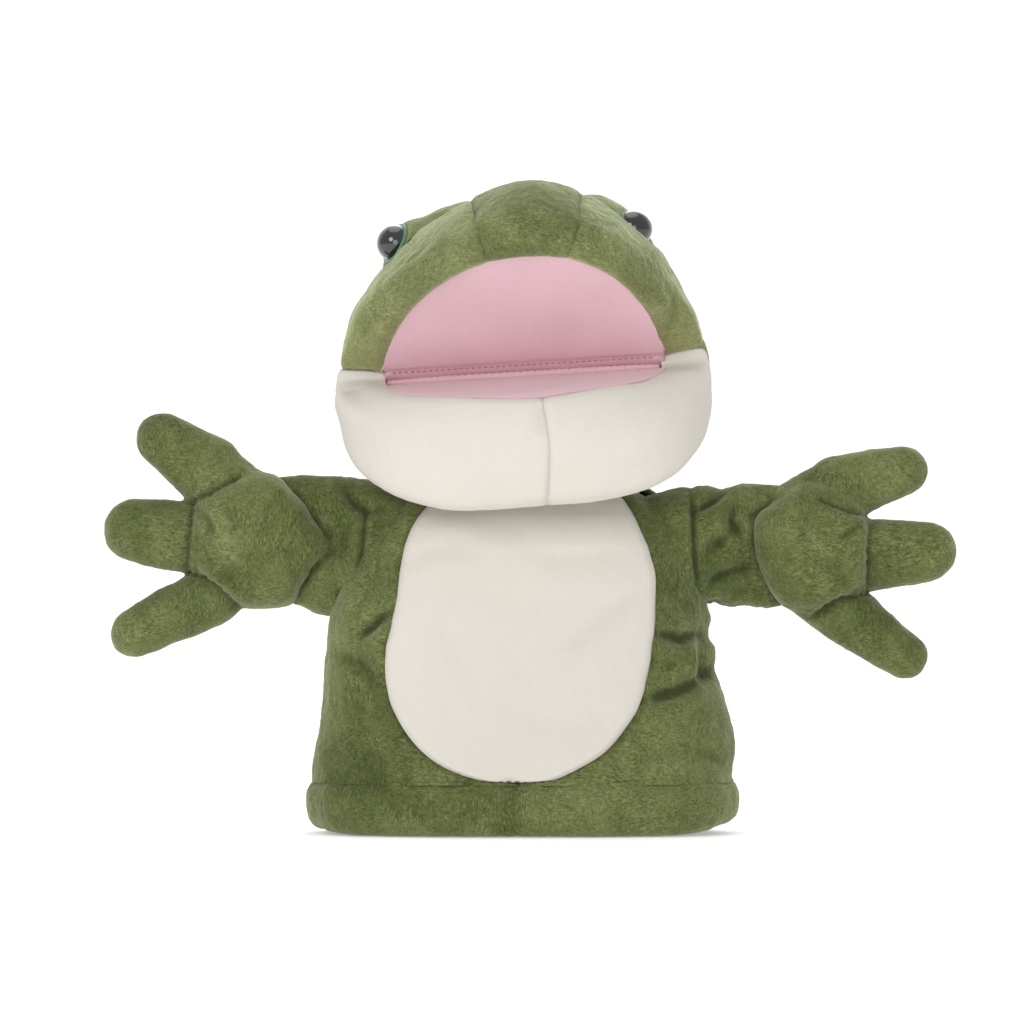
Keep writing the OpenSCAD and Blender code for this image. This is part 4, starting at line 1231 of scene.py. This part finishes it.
JF = [(U((343, 380), (352, 392), (366, 398)), 1.6, 3.4), (U((541, 404), (541, 424), (541, 440)), 0.8, 2.2),
      (U((352, 430), (372, 446), (392, 452)), 0.5, 5.0), (U((620, 470), (650, 458), (686, 452)), 0.6, 5.0)]


def jaw_folds(P, N):
    d = 0.8 * fbm(P, (30, 30, 24), 241, 2)
    for pts, dep, wid in JF:
        d = d + groove(P, pts, dep, wid) * (P[..., 1] < -6)
    return d


JREF = (HX, -12, 150)
JT = 11.0
VU = np.interp(VJ, [0, 10, 12], [0, 10, 10])
CTJ = smooth_table([0, 1, 3, 5, 8, 10], [4.2, 4.6, 6.4, 7.0, 7.4, 7.6], VU)


def jaw_skin(side):
    """Jaw from the chin seam out to the end of the crease, then round the corner of the mouth to the green."""
    tm = smooth_table([0, 3, 8, 12], [97.3, 96.0, 91.6, 91.0], VJ)
    if side > 0:
        tm = 180 - tm
    f = np.linspace(0, 1, 92)[None]
    t = tm[:, None] + (JT - tm)[:, None] * f
    A = jaw_pt(VJ[:, None] + 0 * t, t)
    # the corner: a soft fold between the lower lip and the upper one
    lo_ = jaw_pt(VJ, np.full_like(VJ, JT))
    lo2 = jaw_pt(VJ, np.full_like(VJ, JT + 1.0))
    u_ = upper(VU, CTJ)
    u2 = upper(VU, CTJ + 1.0)
    d0 = lo_ - lo2
    d0 /= np.linalg.norm(d0, axis=-1, keepdims=True)
    d1 = u_ - u2
    d1 /= np.linalg.norm(d1, axis=-1, keepdims=True)
    pole = np.stack([-np.interp(VJ, [0, 1, 2, 3, 4, 5, 12], [52.2, 53.3, 57.5, 62.4, 66.9, 69.3, 69.4]), 0 * VJ, 0 * VJ], -1)
    k0 = np.linalg.norm(lo_ - pole, axis=-1, keepdims=True) * 0.72
    k1 = np.linalg.norm(u_ - pole, axis=-1, keepdims=True) * 0.72
    f = np.linspace(0, 1, 30)[1:, None, None]
    B = ((1 - f) ** 3 * lo_ + 3 * (1 - f) ** 2 * f * (lo_ + d0 * k0) + 3 * (1 - f) * f ** 2 * (u_ + d1 * k1) + f ** 3 * u_)
    L = np.concatenate([A, np.moveaxis(B, 0, 1)], 1)
    if side > 0:
        L = L * np.array([-1, 1, 1])
    return head_frame(L, SHEAR)


def jaw_pull(G, N, side):
    return jaw_folds(G, N)


for s, nm in ((-1, "left"), (1, "right")):
    G = jaw_skin(s)
    o = panel("jaw_" + nm, G, JREF, M_CREAM, pull={"l": 0.07, "r": 0.9}, width=1.3, amp=0.35, seed=50, extra=jaw_folds, puff=0.4)
    del o["pattern"]
    a_ = np.array([HX, HY, HZ]) + np.array([-math.sin(ROLL), 0, math.cos(ROLL)]) * -1.5
    b_ = np.array([HX, HY, HZ]) + np.array([-math.sin(ROLL), 0, math.cos(ROLL)]) * 5.0
    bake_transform(o)
    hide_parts(f"jaw_{nm}_panel")
    if s < 0:
        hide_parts("jaw_filling")

# throat sides under the head
for s, nm in ((-1, "left"), (1, "right")):
    la = np.linspace(63.5, 143, 58)
    lr = smooth_table([62, 78, 96, 114, 129, 133, 143], [46, 41.5, 40.5, 42.6, 47.4, 46.4, 46.8], la)
    ln_ = smooth_table([62, 78, 96, 114, 130, 143], [2.5, 2.4, 2.3, 2.3, 2.2, 2.15], la)
    t = np.linspace(0.4, 55, 60)[None]
    if s > 0:
        t = 180 - t
    G = head_frame(plane_pt(-la[:, None] + 0 * t, W, lr[:, None], ln_[:, None], t))
    o = panel(nm + "_throat", G, (HX, HY, HZ), M_HEAD, pull="", seed=55 + s, thick=1.6, extra=lambda P, N: 0.8 * fbm(P, (16, 16, 16), 251, 2))
    del o["pattern"]
    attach(o, "jaw")
    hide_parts(nm + "_throat_panel")


# mouth linings: knit over a board, dished, with a rolled edge tucked under the plush
MOUTH_SHADE = {}


def mouth_sheet(name, angle, up, mat, dish, seed):
    rr_ = np.linspace(0.0, 1.0, 60)[:, None]
    xx_ = np.linspace(-1, 1, 120)[None]
    w_, l_ = 53.6, 58.6
    x = w_ * xx_ * np.ones_like(rr_)
    q = 0.4 + (l_ - 0.4) * rr_ * np.sqrt(np.clip(1 - (x / (w_ + 0.6)) ** 2, 0, 1))
    off = -dish * (1 - (x / w_) ** 2) * np.sin(np.clip(q / l_, 0, 1) * math.pi) ** 1.0
    off = off + (0.45 if up else 0.2) * vnoise(np.stack([x, q, 0 * q], -1), (18, 15, 9), seed)
    if not up:
        off = off - 1.3 * np.clip((q - 54) / 4.6, 0, 1) ** 1.4
    ar = math.radians(angle)
    y = -q * math.cos(ar)
    z = q * math.sin(ar)
    ny, nz = (-math.sin(ar), -math.cos(ar)) if up else (math.sin(ar) * -1, math.cos(ar))
    # painted shade: darkest at the crease, fading within about 10 mm of it, with a faint darkening everywhere
    MOUTH_SHADE[name] = np.exp(-(q / 9) ** 2) * 0.46 + 0.03
    G = np.stack([x, y + ny * off * (1 if up else 1), z + nz * off], -1)
    return G


# palate: the mouth's open side faces down and forward
G = head_frame(mouth_sheet("p", PA, True, None, 1.2, 301), 0.0)
pal = panel("palate_knit", G, (HX, HY + 30, HZ + 60), M_PINK, thick=1.2, amp=0.12, seed=60, pull="t", depth=0.7, width=1.6,
            extra=lambda P, N: -0.7 * np.exp(-((np.abs(((P[..., 2] - HZ) * math.cos(ROLL) - (P[..., 0] - HX) * math.sin(ROLL)) / math.sin(math.radians(PA)) - 5.2)) / 0.9) ** 2))
# painted shade on the palate, darkest at the crease
pal.data.attributes["painted_shade"].data.foreach_set("value", np.concatenate([MOUTH_SHADE["p"].ravel()] * 2))
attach(pal, "upper_head")
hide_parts("palate")
pal["pattern"] = [0.1076, float(pal["pattern"][1]), float(pal["pattern"][2])]
declare_sheet(pal)
G = head_frame(mouth_sheet("f", -FA, False, None, 0.8, 305), 0.0)
flo = panel("mouth_floor_knit", G, (HX, HY - 20, HZ - 60), M_PINK, thick=1.2, amp=0.12, seed=61, pull="t", depth=0.7, width=1.6)
# painted shade on the mouth floor, half as strong
flo.data.attributes["painted_shade"].data.foreach_set("value", np.concatenate([0.5 * MOUTH_SHADE["f"].ravel()] * 2))
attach(flo, "jaw")
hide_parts("mouth_floor")
flo["pattern"] = [0.1076, float(flo["pattern"][1]), float(flo["pattern"][2])]
declare_sheet(flo)

# the crease: a rolled, puckered seam
cs = np.linspace(-51.6, 51.6, 150)[:, None]
ct = np.linspace(0, 2 * math.pi, 14, endpoint=False)[None]
rad = 1.5 * (1 - 0.5 * (np.abs(cs) / 52) ** 6) * (1 + 0.12 * np.sin(cs * 2.4))
G = head_frame(np.stack([cs + 0 * ct, rad * np.cos(ct) - 0.3, rad * np.sin(ct) + 0.1], -1))
cre = panel("crease_roll", G, (HX, HY - 0.4, HZ - 0.2), M_PINK, thick=0.4, wrap=True, amp=0.1, seed=62)
del cre["pattern"]
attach(cre, "jaw")
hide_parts("mouth_crease_seam")
xs2 = np.linspace(-50, 50, 200)
q2 = np.full_like(xs2, 5.2)
loc = np.stack([xs2, -q2 * math.cos(math.radians(PA)) - 0.95 * math.sin(math.radians(PA)) + 0.6, q2 * math.sin(math.radians(PA)) - 0.3], -1)
stitches("palate_stitches", head_frame(loc), M_THREAD_PINK, "upper_head", 0.24, 1.5, 0.8)


# pockets inside the head: soft bags for the fingers and the thumb
def bag_section(a, half_w, c, h, n=60):
    t = np.linspace(0, 2 * math.pi, n, endpoint=False)
    x = half_w * pw(np.cos(t), 0.7)
    q = c + h * pw(np.sin(t), 0.7)
    ar = math.radians(a)
    return np.stack([x, -q * math.cos(ar), q * math.sin(ar)], -1)


fa_ = np.concatenate([np.linspace(168, 66, 40), [64.8, 64.2, 64.0]])
sc_ = np.concatenate([np.ones(40), [0.85, 0.5, 0.04]])
G = np.stack([bag_section(a, 34.4 * s, np.interp(a, [64, 92, 168], [30, 28, 26]), np.interp(a, [64, 92, 168], [11.6, 14, 16]) * s) for a, s in zip(fa_, sc_)])
fp = panel("finger_bag", head_frame(G), (HX, HY - 2, HZ + 26), M_LINING, thick=0.6, wrap=True, amp=0.25, seed=63, extra=lambda P, N: 0.5 * fbm(P, (10, 10, 10), 261, 2) - 0.4)
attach(fp, "upper_head")
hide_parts("finger_pocket")
del fp["pattern"]
yy = np.concatenate([np.linspace(-7, -37.4, 26), [-38.4, -38.9, -39.0]])
s2 = np.concatenate([np.ones(26), [0.85, 0.5, 0.04]])
t = np.linspace(0, 2 * math.pi, 60, endpoint=False)
G = np.stack([np.stack([18.6 * s * pw(np.cos(t), 0.7), y + 0 * t, -20.5 + 9.2 * s * pw(np.sin(t), 0.8)], -1) for y, s in zip(yy, s2)])
tp = panel("thumb_bag", head_frame(G), (HX, HY - 22, HZ - 20.5), M_LINING, thick=0.6, wrap=True, amp=0.25, seed=64, extra=lambda P, N: 0.4 * fbm(P, (10, 10, 10), 271, 2) - 0.3)
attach(tp, "jaw")
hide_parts("thumb_pocket")
del tp["pattern"]
